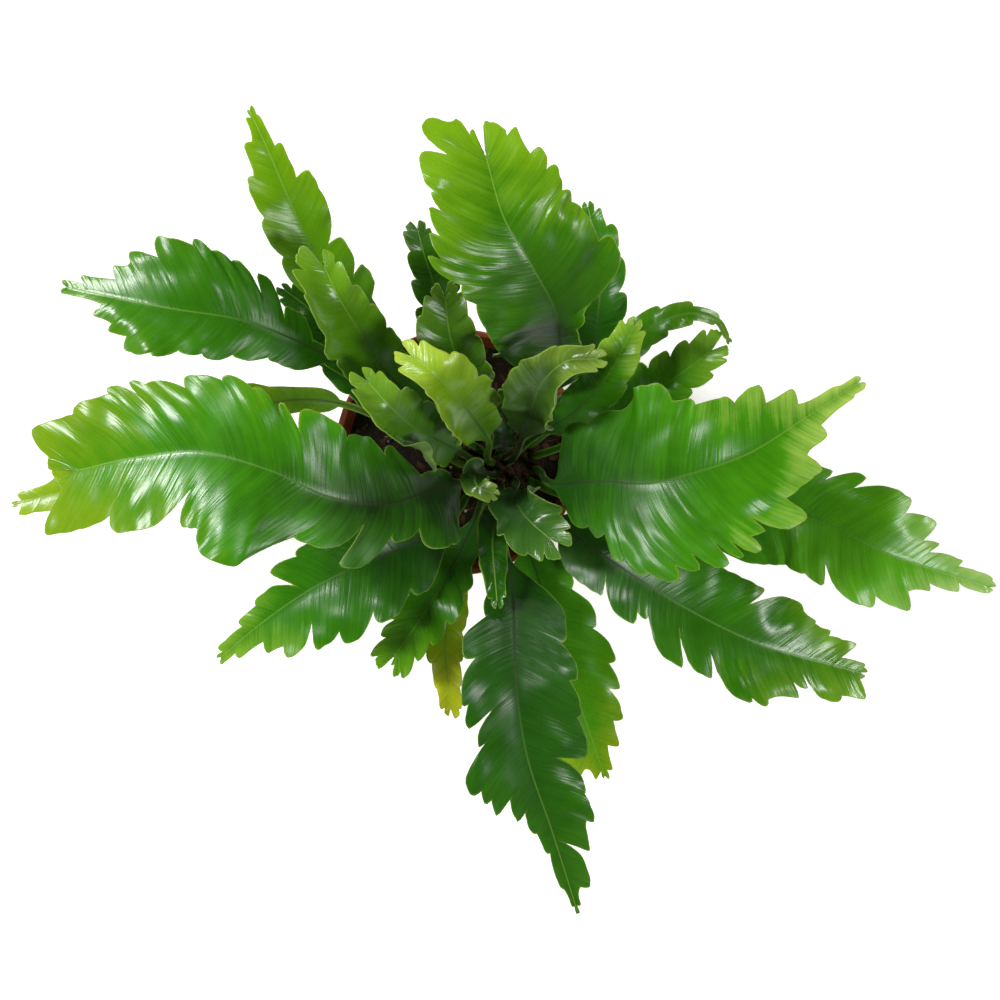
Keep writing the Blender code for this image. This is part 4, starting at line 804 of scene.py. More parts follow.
@dataclass
class Frond:
    """One frond: its stalk, its midrib and its two lobed, ruffled halves, as one closed skin.

    The skin is a stack of rings. Each ring starts at one margin, goes over the blade to the other
    margin and comes back below it. Down the stalk the same ring closes to a circle.
    """

    form: FrondForm
    crown: "Crown"
    row_gap: float = 1.1 * MM
    column_gap: float = 2.4 * MM
    stalk_radius: float = 1.7 * MM
    rib_tip_radius: float = 0.5 * MM
    half_thickness: float = 0.24 * MM
    crimp: float = 0.8 * MM
    crimp_length: float = 17 * MM
    pleat: float = 0.07 * MM
    pleat_length: float = 4.2 * MM
    unevenness: float = 0.8 * MM
    cup: float = 6
    ruffle: float = 3 * MM
    waves: float = 3
    fan: float = 0.1
    fan_step: float = 2 * MM
    fan_reach: float = 250 * MM

    def __post_init__(self) -> None:
        """Draws the frond's chance details and lays out its midrib."""
        form = self.form
        random = np.random.default_rng(len(form.name) * 37 + int(form.angle))
        self.phase = {side: random.uniform(0, TAU) for side in (1, -1)}
        self.margins = {}
        for side, marks in ((1, form.left), (-1, form.right)):
            lobes = len(marks) // 2
            self.margins[side] = Margin(
                np.array(marks) * (1, MM),
                random.uniform(-0.8, 2.2, lobes) * MM, random.uniform(-1.4, 1.4, lobes) * MM)
        self.lay_midrib()

    def lay_midrib(self, per_span: int = 14) -> None:
        """Runs a Hermite curve from the crown through the form's points, at even steps.

        Each inner tangent is the slope between the point's two neighbours, the first one leans out
        from the crown, and the last one is the slope of the last chord.
        """
        angle = math.radians(self.form.angle)
        foot = self.crown.foot(self.form.ring, angle, self.stalk_radius)
        points = np.concatenate([[foot], self.crown.top + np.array(self.form.path) * MM])
        at = np.concatenate([[0], np.cumsum(np.linalg.norm(np.diff(points, axis=0), axis=1))])
        slopes = np.empty_like(points)
        slopes[0] = unit(np.array([0.35 * math.cos(angle), 0.35 * math.sin(angle), 1]))
        slopes[1:-1] = (points[2:] - points[:-2]) / (at[2:] - at[:-2])[:, None]
        slopes[-1] = (points[-1] - points[-2]) / (at[-1] - at[-2])
        t = np.linspace(0, 1, per_span, endpoint=False)[None, :, None]
        a, b, u, v = points[:-1, None], points[1:, None], slopes[:-1, None], slopes[1:, None]
        span = np.diff(at)[:, None, None]
        curve = (a * (1 + 2 * t) * (1 - t) ** 2 + span * u * t * (1 - t) ** 2
                 + b * t * t * (3 - 2 * t) + span * v * t * t * (t - 1)).reshape(-1, 3)
        curve = np.concatenate([curve, points[-1:]])
        length = np.concatenate([[0], np.cumsum(np.linalg.norm(np.diff(curve, axis=0), axis=1))])
        self.length = length[-1]
        self.start = self.form.stalk * self.length
        self.even = np.linspace(0, self.length, 3 * len(curve))
        self.line = self.read(length, curve, self.even)
        self.tangents = unit(np.gradient(self.line, axis=0))

    @staticmethod
    def read(at: np.ndarray, rows: np.ndarray, s: np.ndarray) -> np.ndarray:
        """Reads rows of x, y and z, known at rising distances, at other distances."""
        return np.stack([np.interp(s, at, rows[:, k]) for k in range(3)], axis=-1)

    def frame_at(self, s: np.ndarray) -> tuple[np.ndarray, ...]:
        """Gives the midrib's point, left and up at distances along it, also past its ends.

        Up is the part of +Z that is square to the midrib.

        Args:
            s: Distances along the midrib from its foot.

        Returns:
            Three arrays with x, y and z along the last axis.
        """
        inside = np.clip(s, 0, self.length)
        tangent = unit(self.read(self.even, self.tangents, inside))
        point = self.read(self.even, self.line, inside) + tangent * (s - inside)[..., None]
        up = unit(np.array([0, 0, 1]) - tangent[..., 2:] * tangent)
        return point, np.cross(up, tangent), up

    def share_at(self, s: np.ndarray) -> np.ndarray:
        """Gives the share of the blade's length for the roots of veins; past 1 they fan out."""
        past = np.maximum(s - self.length, 0) / self.fan_step * self.fan
        return (np.minimum(s, self.length) - self.start) / (self.length - self.start) + past

    def rows(self) -> np.ndarray:
        """Gives the rings' distances along the midrib: wide on the stalk, closer at the marks."""
        marks = sorted({float(u) for margin in self.margins.values() for u in margin.marks[:, 0]} | {1.0})
        blade = []
        for a, b in zip(marks, marks[1:]):
            span = (b - a) * (self.length - self.start) if b <= 1 else (b - a) * self.fan_reach
            count = max(3, round(span / self.row_gap))
            x = np.linspace(0, 1, count, endpoint=False)
            x = 0.45 * x + 0.55 * (1 - np.cos(math.pi * x)) / 2
            blade.append(a + (b - a) * x)
        u = np.concatenate([*blade, marks[-1:]])
        blade = self.start + np.minimum(u, 1) * (self.length - self.start)
        blade += np.maximum(u - 1, 0) / self.fan * self.fan_step
        flare = 0.72 * self.start
        stalk = np.linspace(-2 * MM, flare, max(6, round(flare / (4 * MM))), endpoint=False)
        rows = max(8, round((self.start - flare) / self.row_gap))
        taper = np.linspace(flare, self.start, rows, endpoint=False)
        return np.concatenate([stalk, taper, blade])

    def half(self, side: int, s: np.ndarray, rib: np.ndarray, columns: int) -> tuple[np.ndarray, ...]:
        """Works out one half of the blade's middle sheet, from beside the midrib to its margin.

        A point lies at a distance d along a vein. The vein leaves the midrib at an angle that
        narrows towards the margin. The half rises by its cup angle and by its curls, and has the
        ruffle, the crimp, the pleats and its lobes' own heights on top of that.

        Args:
            side: 1 for the left half, -1 for the right one.
            s: Where each row's vein leaves the midrib.
            rib: The midrib's radius at each row.
            columns: How many points each row has.

        Returns:
            The points, the distances along the veins, the shares of the whole veins, and the
            distances to the margin.
        """
        form, random = self.form, np.random.default_rng(int(form_seed(self.form.name)) + side)
        margin = self.margins[side]
        u = self.share_at(s)
        vein = margin.length(u)
        unrolled = s + np.maximum(u - 1, 0) * self.fan_reach
        flare = np.clip((s - 0.72 * self.start) / (0.28 * self.start), 0, 1) ** 1.8
        teeth = 1 + 0.3 * np.sin(
            unrolled / (3.1 * MM) + 5 * np.sin(unrolled / (13 * MM)) + random.uniform(0, TAU))
        crenate = np.abs(np.sin(
            unrolled / (3.7 * MM) + random.uniform(0, TAU) + 2 * np.sin(unrolled / (9 * MM)))) ** 3
        notch = 0.5 * MM * teeth * smoothstep(3 * MM, 12 * MM, vein) * crenate
        reach = rib + np.maximum(vein - notch - rib, 0) * flare

        # Two columns follow the midrib and one keeps just inside the margin.
        k = np.linspace(0, 1, columns - 3)[1:-1]
        near = np.minimum(rib * 0.8, reach * 0.15)[:, None]
        inner = np.minimum(rib * 1.7, reach * 0.32)[:, None]
        edge = np.minimum(0.5 * MM, reach * 0.08)[:, None]
        far = reach[:, None]
        spread = inner + (far - edge - inner) * k
        d = np.concatenate([near, inner, spread, far - edge, far], axis=1)

        tau = d / np.maximum(margin.envelope(u), reach)[:, None]
        base, tip = form.sweep
        turned = np.radians(base + (tip - base) * np.clip(u, 0, 1))
        turned *= 1 - np.maximum(u - 1, 0) / self.fan
        angle = turned[:, None] + 0.14 * (1 - tau)
        along, across = s[:, None] + d * np.cos(angle), d * np.sin(angle)

        out = np.minimum(across / margin.marks[:, 1].max(), 1)
        slope = np.radians(self.cup) + 0.16 * (1 - 2 * tau) * np.minimum(1, flare[:, None])
        for curl_side, middle, spread_over, degrees in form.curls:
            if curl_side == side:
                much = np.exp(-(((u - middle) / spread_over) ** 2))[:, None]
                slope = slope + math.radians(degrees) * much * smoothstep(0.15, 1.0, tau)
        step = np.diff(across, axis=1, prepend=0)
        x = np.cumsum(step * np.cos(slope), axis=1)
        z = np.cumsum(step * np.sin(slope), axis=1)

        wave = np.sin(TAU * self.waves * along / self.length + self.phase[side])
        extra = self.ruffle * out**1.5 * wave
        shake = wave_noise(along, across, random, 30 * MM, 80 * MM)
        crimped = np.sin(TAU * along / self.crimp_length + 1.6 * shake + random.uniform(0, TAU))
        extra += self.crimp * out**2 * crimped
        pleats = np.sin(
            TAU * unrolled / self.pleat_length + 2.5 * np.sin(unrolled / (11 * MM)))[:, None]
        extra += self.pleat * smoothstep(0.02, 0.4, tau) * pleats * (0.6 + 0.4 * shake)
        extra += self.unevenness * smoothstep(0.0, 0.6, out) * wave_noise(
            along, across, random, 13 * MM, 42 * MM)
        extra += margin.lift(u, out) * flare[:, None]

        point, left, up = self.frame_at(along)
        offset = x - extra * np.sin(slope)
        height = z + extra * np.cos(slope)
        points = point + left * (side * offset)[..., None] + up * height[..., None]
        gap = np.gradient(s)[:, None] * np.sin(angle) + far * np.abs(np.gradient(turned))[:, None]
        lean = np.gradient(reach)[:, None] / gap
        return points, d, tau, (far - d) / np.sqrt(1 + lean**2)

    def build(self) -> bpy.types.Object:
        """Makes the frond's mesh and dresses it.

        The skin is the middle sheet moved out along its normals by half its thickness. Below the
        midrib it swells to a half-round rib, and above it to a low ridge.

        Returns:
            The piece.
        """
        s = self.rows()
        u = np.clip(self.share_at(s), 0, 1)
        rib = self.stalk_radius + (self.rib_tip_radius - self.stalk_radius) * u**0.8
        widest = max(margin.marks[:, 1].max() for margin in self.margins.values())
        columns = int(np.clip(widest / self.column_gap, 9, 20))
        left, right = (self.half(side, s, rib, columns) for side in (1, -1))
        centre, leftward, up = self.frame_at(s)

        def across(first: np.ndarray, middle: np.ndarray, second: np.ndarray) -> np.ndarray:
            """Joins the left half, turned round, the midrib and the right half into rows."""
            return np.concatenate([first[:, ::-1], middle[:, None], second], axis=1)

        zero = np.zeros_like(s)
        sheet = across(left[0], centre, right[0])
        signed = across(left[1], zero, -right[1])
        tau = across(left[2], zero, right[2])
        to_margin = across(left[3], np.minimum(left[3][:, 0], right[3][:, 0]), right[3])
        normal = unit(np.cross(np.gradient(sheet, axis=1), np.gradient(sheet, axis=0))
                      + 1e-9 * up[:, None])
        near = np.abs(signed) / rib[:, None]
        round_rib = np.sqrt(np.clip(1 - near**2, 0, 1))
        thin = self.half_thickness * (1 + 0.5 * (1 - smoothstep(0, 0.5, tau)))
        over = sheet + normal * (thin + 0.3 * rib[:, None] * round_rib)[..., None]
        under = sheet - normal * (thin + 0.9 * rib[:, None] * round_rib)[..., None]
        count = sheet.shape[1]
        rings = np.concatenate([over, under[:, ::-1]], axis=1)

        # The stalk: the same rings, closed to circles with a shallow groove on top.
        turn = np.radians(np.concatenate([np.linspace(172, 8, count), np.linspace(-8, -172, count)]))
        thick = self.stalk_radius * (1.12 - 0.22 * np.clip(s / self.start, 0, 1))
        groove = 1 - 0.22 * np.exp(-((turn - math.pi / 2) / 0.5) ** 2)
        swing = (up[:, None] * np.sin(turn)[:, None] - leftward[:, None] * np.cos(turn)[:, None])
        circles = centre[:, None] + swing * (thick[:, None] * groove)[..., None]
        open_share = smoothstep(0.72, 1.02, s / self.start)[:, None, None]
        rings = circles + (rings - circles) * open_share

        faces = np.concatenate([ring_faces(len(s), 2 * count), flat_caps(len(s), 2 * count)])
        skin = FrondSkin("fern_blade_" + self.form.name.removeprefix("frond_"), self.form.tones)
        piece = make_piece(
            self.form.name.replace("frond", "leaf", 1), rings, faces, skin.material(),
            self.form.name)
        side = np.broadcast_to(np.repeat([0.0, 1.0], count), rings.shape[:2])
        twice = [np.concatenate([a, a[:, ::-1]], axis=1) for a in (signed, tau, to_margin)]
        unrolled = s + np.maximum(self.share_at(s) - 1, 0) * self.fan_reach
        start = np.broadcast_to(unrolled[:, None], rings.shape[:2])
        share = np.broadcast_to(u[:, None], rings.shape[:2])
        self.attach(piece, "blade_plan", (start, twice[0], twice[1]))
        self.attach(piece, "blade_place", (share, side, twice[2]))
        return piece

    @staticmethod
    def attach(piece: bpy.types.Object, name: str, parts: tuple) -> None:
        """Stores three numbers for each vertex, for the material to read."""
        values = np.stack(parts, axis=-1).astype(np.float32)
        attribute = piece.data.attributes.new(name, "FLOAT_VECTOR", "POINT")
        attribute.data.foreach_set("vector", values.reshape(-1))


def form_seed(name: str) -> int:
    """Gives a seed that depends only on a name's letters."""
    return sum((i + 1) * ord(letter) for i, letter in enumerate(name))


@dataclass
class Crown:
    """The rootstock that all stalks grow from: a low brown dome under papery scales."""

    slot: str = "crown"
    shoulder: float = 2 * MM  # height of the dome's foot above the soil
    steps: int = 96
    scale_count: int = 150
    scale_length: float = 7 * MM
    scale_width: float = 1.3 * MM

    def __post_init__(self) -> None:
        """Reads the crown's place and size from the frame."""
        low, high = (np.array(corner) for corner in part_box("crown"))
        self.centre = (low + high)[:2] / 2
        self.radius = (high - low)[0] / 2
        self.top = np.array([*self.centre, high[2]])
        self.bottom = low[2]
        self.soil_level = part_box("potting_soil")[1][2]

    def dome(self, radius: np.ndarray) -> np.ndarray:
        """Gives the dome's height at a distance from its middle: a quarter of an ellipse."""
        shoulder = self.soil_level + self.shoulder
        share = np.clip(1 - (radius / self.radius) ** 2, 0, 1)
        return shoulder + (self.top[2] - shoulder) * np.sqrt(share)

    def foot(self, ring: Ring, angle: float, stalk_radius: float) -> np.ndarray:
        """Gives the point where a stalk's middle line starts, just clear of the dome."""
        radius = ring.value * MM
        clear = 0.6 * MM + stalk_radius
        return np.array([
            self.centre[0] + radius * math.cos(angle), self.centre[1] + radius * math.sin(angle),
            self.dome(radius) + clear])

    def build(self) -> None:
        """Makes the dome with its knobs, and the scales that stand on it."""
        random = np.random.default_rng(11)
        radius = np.linspace(0, self.radius, 26)
        corners = [
            [self.radius, self.soil_level - 3 * MM], [0.8 * self.radius, self.soil_level - 9 * MM],
            [0.56 * self.radius, self.bottom + 3 * MM], [0.4 * self.radius, self.bottom],
            [0, self.bottom]]
        profile = np.concatenate([np.stack([radius, self.dome(radius)], axis=1), corners])
        points = revolve(profile, self.steps, tuple(self.centre))
        knobs = wave_noise(points[..., 0], points[..., 1], random, 3 * MM, 11 * MM)
        fade = smoothstep(self.soil_level - 2 * MM, self.soil_level + 4 * MM, points[..., 2])
        points[..., 2] -= 0.5 * MM * fade * (1 + np.clip(knobs, -1, 1))
        skin = GrowingMatter("fern_rootstock", "1c110a", "4a2f1a", 2.2 * MM, 0.7 * MM)
        piece = make_piece(
            "rootstock", points, ring_faces(len(points), self.steps), skin.material(),
            "crown")
        close_up(piece.data)

        # Scales: flat tapering strips, nearly upright, spread evenly over the dome.
        n = np.arange(self.scale_count)
        turn = n * math.pi * (3 - math.sqrt(5))
        spread = self.radius * 0.97 * np.sqrt((n + 0.5) / self.scale_count)
        x = self.centre[0] + spread * np.cos(turn)
        y = self.centre[1] + spread * np.sin(turn)
        feet = np.stack([x, y, self.dome(spread) - 0.8 * MM], axis=-1)
        lean = random.uniform(0.2, 0.9, self.scale_count)
        outward = np.stack([np.cos(turn) * lean, np.sin(turn) * lean, np.ones_like(turn)], axis=-1)
        strands = Strands(
            feet, unit(outward), self.scale_length * random.uniform(0.6, 1.25, self.scale_count),
            self.scale_width, 0.12, 0.35, random)
        papery = GrowingMatter(
            "papery_crown_scales", "2b1809", "7a5228", 1.2 * MM, 0.2 * MM, roughness=0.7)
        strands.build("crown_scales", papery.material(), self.slot)


@dataclass
class Strands:
    """Many short tapering strands as one piece: scales when they are flat, fibres when round.

    Each strand is a stack of eight rings of six points along a bent line. Its width falls from
    the foot to the tip as (1 - t^2), and its line sags by bend times t^2 of its length.
    """

    feet: np.ndarray
    directions: np.ndarray
    lengths: np.ndarray
    width: float
    flatness: float  # thickness as a share of the width
    bend: float
    random: np.random.Generator
    rings: int = 8
    sides: int = 6

    def build(self, name: str, material: bpy.types.Material, slot: str) -> None:
        """Makes the piece.

        Args:
            name: The piece's name.
            material: Its material.
            slot: Not used.
        """
        count = len(self.feet)
        t = np.linspace(0, 1, self.rings)[None, :, None]
        helper = unit(self.random.normal(size=(count, 3)))
        side = unit(np.cross(self.directions, helper))
        face = np.cross(self.directions, side)
        reach = self.lengths[:, None, None]
        line = (self.feet[:, None] + self.directions[:, None] * t * reach
                + face[:, None] * self.bend * t * t * reach)
        angle = np.linspace(0, TAU, self.sides, endpoint=False)
        wide = (self.width / 2 * (1 - 0.97 * t[..., 0] ** 2))[..., None, None]
        ring = (side[:, None, None] * np.cos(angle)[:, None]
                + face[:, None, None] * np.sin(angle)[:, None] * self.flatness) * wide
        points = line[:, :, None] + ring
        block = np.concatenate([
            ring_faces(self.rings, self.sides), flat_caps(self.rings, self.sides)])
        start = np.arange(count)[:, None, None] * self.rings * self.sides
        make_piece(name, points, (block[None] + start).reshape(-1, 4), material)


@dataclass
class Pebbles:
    """Many small rounded lumps as one piece, such as bark chips or perlite grains.

    Each lump is a box of 56 points pushed halfway to a ball, stretched, turned and roughened.
    """

    places: np.ndarray
    sizes: np.ndarray  # half of each lump's length, width and height
    random: np.random.Generator
    boxiness: float = 0.5
    roughness: float = 0.12

    def template(self) -> tuple[np.ndarray, np.ndarray]:
        """Gives the points and faces of one lump, about 1 across its half."""
        shape = bmesh.new()
        bmesh.ops.create_cube(shape, size=2)
        bmesh.ops.subdivide_edges(shape, edges=shape.edges, cuts=2, use_grid_fill=True)
        points = np.array([vert.co for vert in shape.verts])
        faces = np.array([[vert.index for vert in face.verts] for face in shape.faces])
        shape.free()
        ball = unit(points)
        return ball * (1 - self.boxiness) + points * self.boxiness * 0.8, faces

    def build(self, name: str, material: bpy.types.Material, slot: str) -> None:
        """Makes the piece: each lump is the template scaled, roughened, turned and moved.

        Args:
            name: The piece's name.
            material: Its material.
            slot: Not used.
        """
        template, block = self.template()
        count = len(self.places)
        rough = 1 + self.roughness * self.random.normal(size=(count, len(template), 1))
        lumps = template[None] * rough * self.sizes[:, None]
        yaw, tilt = self.random.uniform(0, TAU, count), self.random.normal(0, 0.3, count)
        zero, one = np.zeros(count), np.ones(count)
        turn = np.array([
            [np.cos(yaw), -np.sin(yaw), zero], [np.sin(yaw), np.cos(yaw), zero], [zero, zero, one]])
        lean = np.array([
            [np.cos(tilt), zero, np.sin(tilt)], [zero, one, zero], [-np.sin(tilt), zero, np.cos(tilt)]])
        points = np.einsum("ijn,jkn,nvk->nvi", turn, lean, lumps) + self.places[:, None]
        start = np.arange(count)[:, None, None] * len(template)
        make_piece(name, points, (block[None] + start).reshape(-1, 4), material)


@dataclass
class Pot:
    """A round nursery pot: rolled rim, collar, tapered wall and a footed base with drain holes."""

    wall: float = 1.6 * MM
    floor: float = 2.4 * MM
    collar_height: float = 14 * MM
    collar_step: float = 1.4 * MM
    base_radius: float = 42 * MM
    drain_holes: int = 6
    drain_hole_radius: float = 4 * MM
    drain_circle: float = 30 * MM
    groove_width: float = 4 * MM
    groove_depth: float = 1.2 * MM
    steps: int = 144

    def __post_init__(self) -> None:
        """Reads the pot's radius and height from the frame."""
        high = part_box("pot")[1]
        self.rim_radius, self.height = high[0], high[2]

    def inner_radius(self, height: float) -> float:
        """Gives the inner wall's radius at a height, a straight taper from the floor to the rim."""
        base = self.base_radius - self.wall
        top = self.rim_radius - self.collar_step - self.wall
        return base + (top - base) * (height - self.floor) / (self.height - self.floor)

    def profile(self) -> np.ndarray:
        """Gives the outline up the inside, over the rim and down the outside, with its roundings."""
        foot = self.height - self.collar_height
        outer = self.inner_radius(foot) + self.wall
        mid = (self.inner_radius(self.height * 0.45) + self.wall)
        corners = np.array([
            (0, self.floor, 0),
            (self.inner_radius(self.floor), self.floor, 2.5 * MM),
            (self.inner_radius(self.height), self.height, 1.1 * MM),
            (self.rim_radius, self.height, 1.3 * MM),
            (self.rim_radius - 0.35 * MM, self.height - 3.2 * MM, 0.45 * MM),
            (self.rim_radius - 0.9 * MM, self.height - 3.8 * MM, 0.3 * MM),
            (outer + self.collar_step, foot, 0.5 * MM),
            (outer, foot - self.collar_step, 0.5 * MM),
            (mid, self.height * 0.45, 0.3 * MM),
            (mid + 0.25 * MM, self.height * 0.45 - 0.5 * MM, 0.2 * MM),
            (mid, self.height * 0.45 - 1.0 * MM, 0.3 * MM),
            (self.base_radius + 0.1 * MM, 2.0 * MM, 1.3 * MM),
            (self.base_radius - 1.6 * MM, 0, 1.1 * MM),
            (0, 0, 0),
        ])
        inside = np.linspace(0, corners[1, 0] - 3 * MM, 10)[:, None]
        below = np.linspace(corners[-2, 0] - 2 * MM, 0, 10)[:, None]
        steps = 5
        rounded = fillet(corners, steps)[steps:-steps]
        return np.concatenate([
            np.hstack([inside, np.full_like(inside, self.floor)]), rounded,
            np.hstack([below, np.zeros_like(below)])])

    def build(self) -> None:
        """Turns the pot, drills its drain holes and cuts the grooves that lead out from them."""
        profile = self.profile()
        piece = make_piece(
            "nursery_pot", revolve(profile, self.steps), ring_faces(len(profile), self.steps),
            MouldedPlastic().material(), "pot")
        close_up(piece.data)
        for i in range(self.drain_holes):
            angle = TAU * (i + 0.5) / self.drain_holes
            outward = np.array([math.cos(angle), math.sin(angle), 0])
            sideways = np.array([-outward[1], outward[0], 0])
            reach = np.array([[0, -self.floor], [self.drain_hole_radius, -self.floor],
                              [self.drain_hole_radius, 2 * self.floor], [0, 2 * self.floor]])
            hole = revolve(reach, 32, tuple(outward[:2] * self.drain_circle))
            carve(piece, hole, ring_faces(4, 32))
            ends = np.array([self.drain_circle, self.base_radius + 4 * MM])
            wide = np.array([-1, 1, 1, -1])[:, None] * sideways * self.groove_width / 2
            deep = np.array([-1, -1, 1, 1])[:, None] * np.array([0, 0, self.groove_depth])
            groove = ends[:, None, None] * outward + wide + deep
            carve(piece, groove, np.concatenate([ring_faces(2, 4), [[3, 2, 1, 0], [4, 5, 6, 7]]]))
        close_up(piece.data)
        piece.data.shade_smooth()
        piece.data.set_sharp_from_angle(angle=math.radians(38))


@dataclass
class Soil:
    """Moist peat compost with bark chips, perlite and root fibres, round a pocket for the crown."""

    pot: Pot
    crown: Crown
    clearance: float = 0.3 * MM
    edge_drop: float = 2 * MM
    steps: int = 160
    chips: int = 260
    grains: int = 40
    fibres: int = 70

    def __post_init__(self) -> None:
        """Reads the soil's level and foot from the frame."""
        low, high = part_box("potting_soil")
        self.bottom, self.level = low[2], high[2]
        self.radius = self.pot.inner_radius(self.level - self.edge_drop) - self.clearance

    def height(self, x: np.ndarray, y: np.ndarray) -> np.ndarray:
        """Gives the surface: lumps of two sizes, level in the middle and lower beside the wall."""
        out = np.hypot(x, y) / self.radius
        lumps = wave_noise(x, y, np.random.default_rng(5), 5 * MM, 26 * MM)
        crumbs = wave_noise(x, y, np.random.default_rng(6), 1.8 * MM, 4.5 * MM)
        drop = self.edge_drop * smoothstep(0.7, 1.0, out)
        return self.level - drop - 0.9 * MM + 0.6 * MM * np.clip(lumps, -1, 1.2) + 0.3 * MM * crumbs

    def build(self) -> None:
        """Makes the block of soil, cuts the crown's pocket in it and strews it."""
        radius = np.concatenate([np.linspace(0, self.radius, 56), [self.radius]])
        foot = self.pot.inner_radius(self.bottom) - self.clearance
        profile = np.stack([radius, np.full_like(radius, self.level)], axis=1)
        profile = np.concatenate([profile, [[foot, self.bottom], [0, self.bottom]]])
        points = revolve(profile, self.steps)
        surface = points[:56]
        surface[..., 2] = self.height(surface[..., 0], surface[..., 1])
        points[56, :, 2] = surface[-1, :, 2] - 1 * MM
        peat = GrowingMatter("moist_peat", "0d0805", "2e1e14", 2.6 * MM, 1.1 * MM)
        piece = make_piece(
            "compost", points, ring_faces(len(points), self.steps), peat.material(),
            "potting_soil")
        close_up(piece.data)
        crown, gap = self.crown, self.clearance
        pocket = np.array([
            (0, crown.bottom - gap), (0.4 * crown.radius, crown.bottom - gap),
            (0.56 * crown.radius + gap, crown.bottom + 3 * MM),
            (0.8 * crown.radius + gap, self.level - 9 * MM),
            (crown.radius + gap, self.level - 3 * MM), (crown.radius + gap, self.level + 20 * MM),
            (0, self.level + 20 * MM)])
        carve(piece, revolve(pocket, 64, tuple(crown.centre)), ring_faces(len(pocket), 64))
        piece.data.shade_smooth()
        piece.data.set_sharp_from_angle(angle=math.radians(50))
        self.strew()

    def places(self, count: int, random: np.random.Generator) -> np.ndarray:
        """Gives points spread over the surface, clear of the crown and the pot's wall.

        Args:
            count: How many points are drawn. Those on the crown are left out.
            random: Source of the draws.

        Returns:
            Rows of x, y and z.
        """
        radius = (self.radius - 3 * MM) * np.sqrt(random.uniform(0, 1, count))
        angle = random.uniform(0, TAU, count)
        x, y = radius * np.cos(angle), radius * np.sin(angle)
        free = np.hypot(x - self.crown.centre[0], y - self.crown.centre[1]) > self.crown.radius + 1.5 * MM
        x, y = x[free], y[free]
        return np.stack([x, y, self.height(x, y)], axis=-1)

    def strew(self) -> None:
        """Strews bark chips, perlite and fibres over the surface."""
        random = np.random.default_rng(21)
        places = self.places(self.chips, random)
        sizes = random.uniform((1.2, 0.7, 0.35), (3.4, 1.8, 0.9), (len(places), 3)) * MM
        bark = GrowingMatter("pine_bark", "1a0e08", "5a3a24", 1.6 * MM, 0.3 * MM, roughness=0.8)
        Pebbles(places, sizes, random, 0.75).build("bark_chips", bark.material(), "soil")
        places = self.places(self.grains, random)
        sizes = random.uniform(0.5, 1.3, (len(places), 1)) * np.array([1, 0.9, 0.8]) * MM
        perlite = GrowingMatter("perlite", "8d887a", "c9c4b6", 0.8 * MM, 0.25 * MM)
        Pebbles(places, sizes, random, 0.15, 0.16).build("perlite_grains", perlite.material(), "soil")
        places = self.places(self.fibres, random)
        angle = random.uniform(0, TAU, len(places))
        flat = np.stack([np.cos(angle), np.sin(angle), random.uniform(0.0, 0.25, len(places))], axis=-1)
        fibre = GrowingMatter("coir_fibre", "3a2414", "8a6238", 1.0 * MM, 0.1 * MM, roughness=0.75)
        Strands(
            places + np.array([0, 0, 0.4 * MM]), unit(flat),
            random.uniform(5, 13, len(places)) * MM, 0.42 * MM, 0.8, 0.16, random,
        ).build("root_fibres", fibre.material(), "soil")


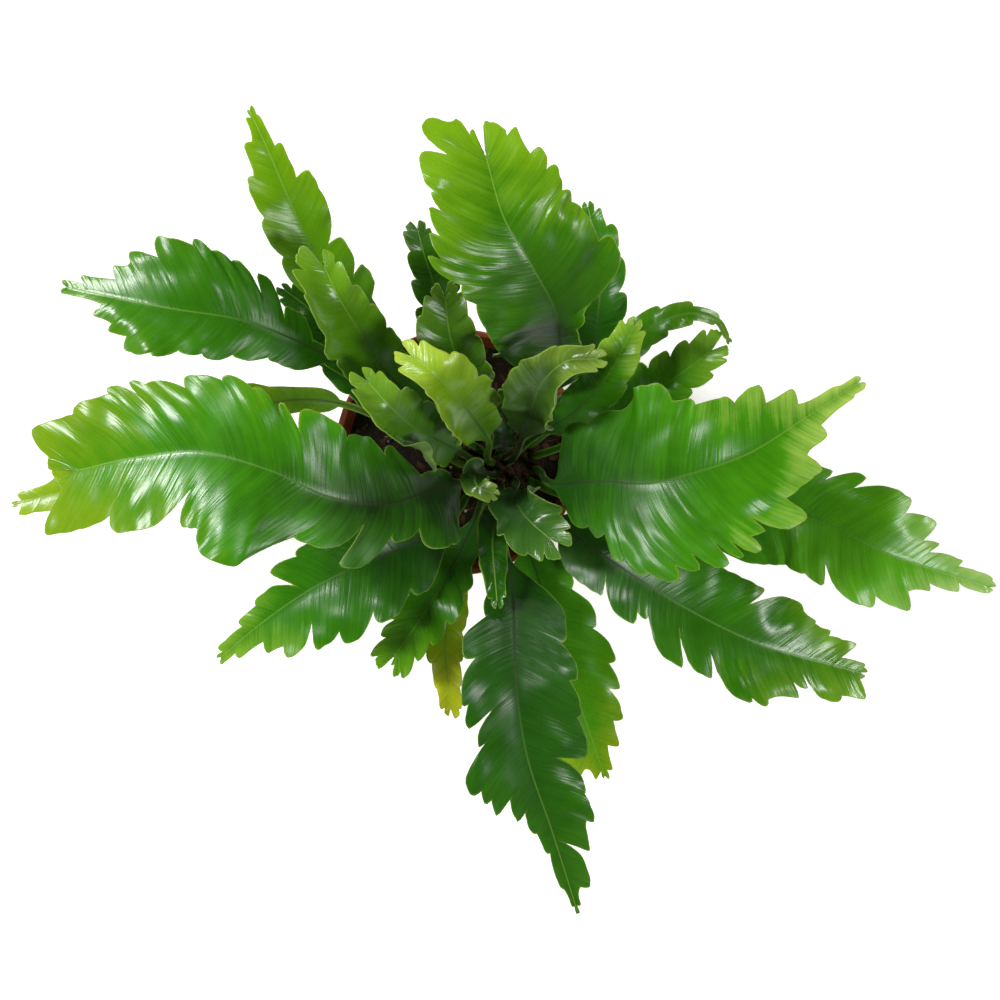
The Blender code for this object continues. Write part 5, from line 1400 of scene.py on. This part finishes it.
@dataclass
class Studio:
    """A lit opal floor, three soft boxes, weakly lit walls and a camera above the plant."""

    view_width: float = 0.4858  # of the picture, at the pot's rim
    eye: tuple[float, float, float] = (0.0204, -0.0233, 1.095)
    sensor: float = 0.036

    def build(self) -> None:
        """Sets up the floor, the lights and the camera."""
        scene = bpy.context.scene
        scene.view_settings.view_transform = "Standard"
        self.floor()
        self.sky(0.15, 0.06)
        self.soft_box("left_box", (-1.08, 0.2, 1.14), (0.2, 0.5), 18)
        self.soft_box("right_box", (0.85, -0.55, 1.25), (0.2, 0.5), 10)
        self.soft_box("back_box", (0.1, 1.45, 1.0), (0.5, 0.16), 7)
        camera = bpy.data.cameras.new("camera")
        camera.lens = self.sensor / self.view_width * (self.eye[2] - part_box("pot")[1][2]) * 1000
        camera.clip_end = 50
        holder = bpy.data.objects.new("camera", camera)
        holder.location = self.eye
        scene.collection.objects.link(holder)
        scene.camera = holder

    def floor(self, half: float = 6.0) -> None:
        """Lays a flat, evenly lit opal table under the pot."""
        make = Shading("opal_light_table", Roughness=0.9, Emission_Strength=0.45)
        spot = make.node("TexCoord", {}).outputs["Object"]
        tone = make.maths("MULTIPLY_ADD", make.noise(spot, 60 * MM), 0.015, 0.985)
        white = make.node("CombineColor", {0: tone, 1: tone, 2: tone})
        make.feed("Base Color", white.outputs[0])
        corners = np.array([[-half, -half, 0], [half, -half, 0], [half, half, 0], [-half, half, 0]])
        mesh = bpy.data.meshes.new("studio_floor")
        mesh.from_pydata(corners.tolist(), [], [[0, 1, 2, 3]])
        mesh.materials.append(make.material)
        floor = bpy.data.objects.new("studio_floor", mesh)
        bpy.context.scene.collection.objects.link(floor)

    @staticmethod
    def sky(sides: float, overhead: float) -> None:
        """Lights the scene from pale walls all round, under a dark ceiling.

        Args:
            sides: The walls' strength.
            overhead: The ceiling's strength.
        """
        world = bpy.data.worlds.new("studio_sky")
        bpy.context.scene.world = world
        world.use_nodes = True
        tree = world.node_tree
        way = add_node(tree, "TexCoord", {})
        height = add_node(tree, "SeparateXYZ", {0: way.outputs["Generated"]}).outputs[2]
        ramp = add_node(tree, "MapRange", {
            0: height, 1: 0.62, 2: 0.86, 3: sides, 4: overhead}, interpolation_type="SMOOTHSTEP")
        background = tree.nodes["Background"]
        background.inputs["Color"].default_value = linear("fff3dc")
        tree.links.new(ramp.outputs[0], background.inputs["Strength"])

    @staticmethod
    def soft_box(name: str, place: tuple, size: tuple[float, float], power: float) -> None:
        """Hangs a rectangular soft box that faces the plant.

        Args:
            name: The light's name.
            place: Where its middle is.
            size: Its width and height.
            power: Its power in watts.
        """
        light = bpy.data.lights.new(name, "AREA")
        light.shape = "RECTANGLE"
        light.size, light.size_y = size
        light.energy = power
        holder = bpy.data.objects.new(name, light)
        holder.location = place
        aim = holder.location - cad_middle()
        holder.rotation_euler = aim.to_track_quat("Z", "Y").to_euler()
        bpy.context.scene.collection.objects.link(holder)


def cad_middle() -> Vector:
    """Gives the middle of the CAD model's box."""
    low, high = CAD_BOX
    return (Vector(low) + Vector(high)) / 2


def main() -> None:
    """Builds the plant, part by part, and the studio round it."""
    logging.basicConfig(level=logging.INFO, format="%(message)s")
    pot, crown = Pot(), Crown()
    pot.build()
    log.info("pot: %.0f mm across its rim", pot.rim_radius * 2 / MM)
    crown.build()
    log.info("crown: %d scales", crown.scale_count)
    Soil(pot, crown).build()
    log.info("soil: strewn with bark, perlite and fibres")
    for form in FRONDS:
        piece = Frond(form, crown).build()
        log.info("%s: %d faces", piece.name, len(piece.data.polygons))
    Studio().build()


if __name__ == "__main__":
    main()
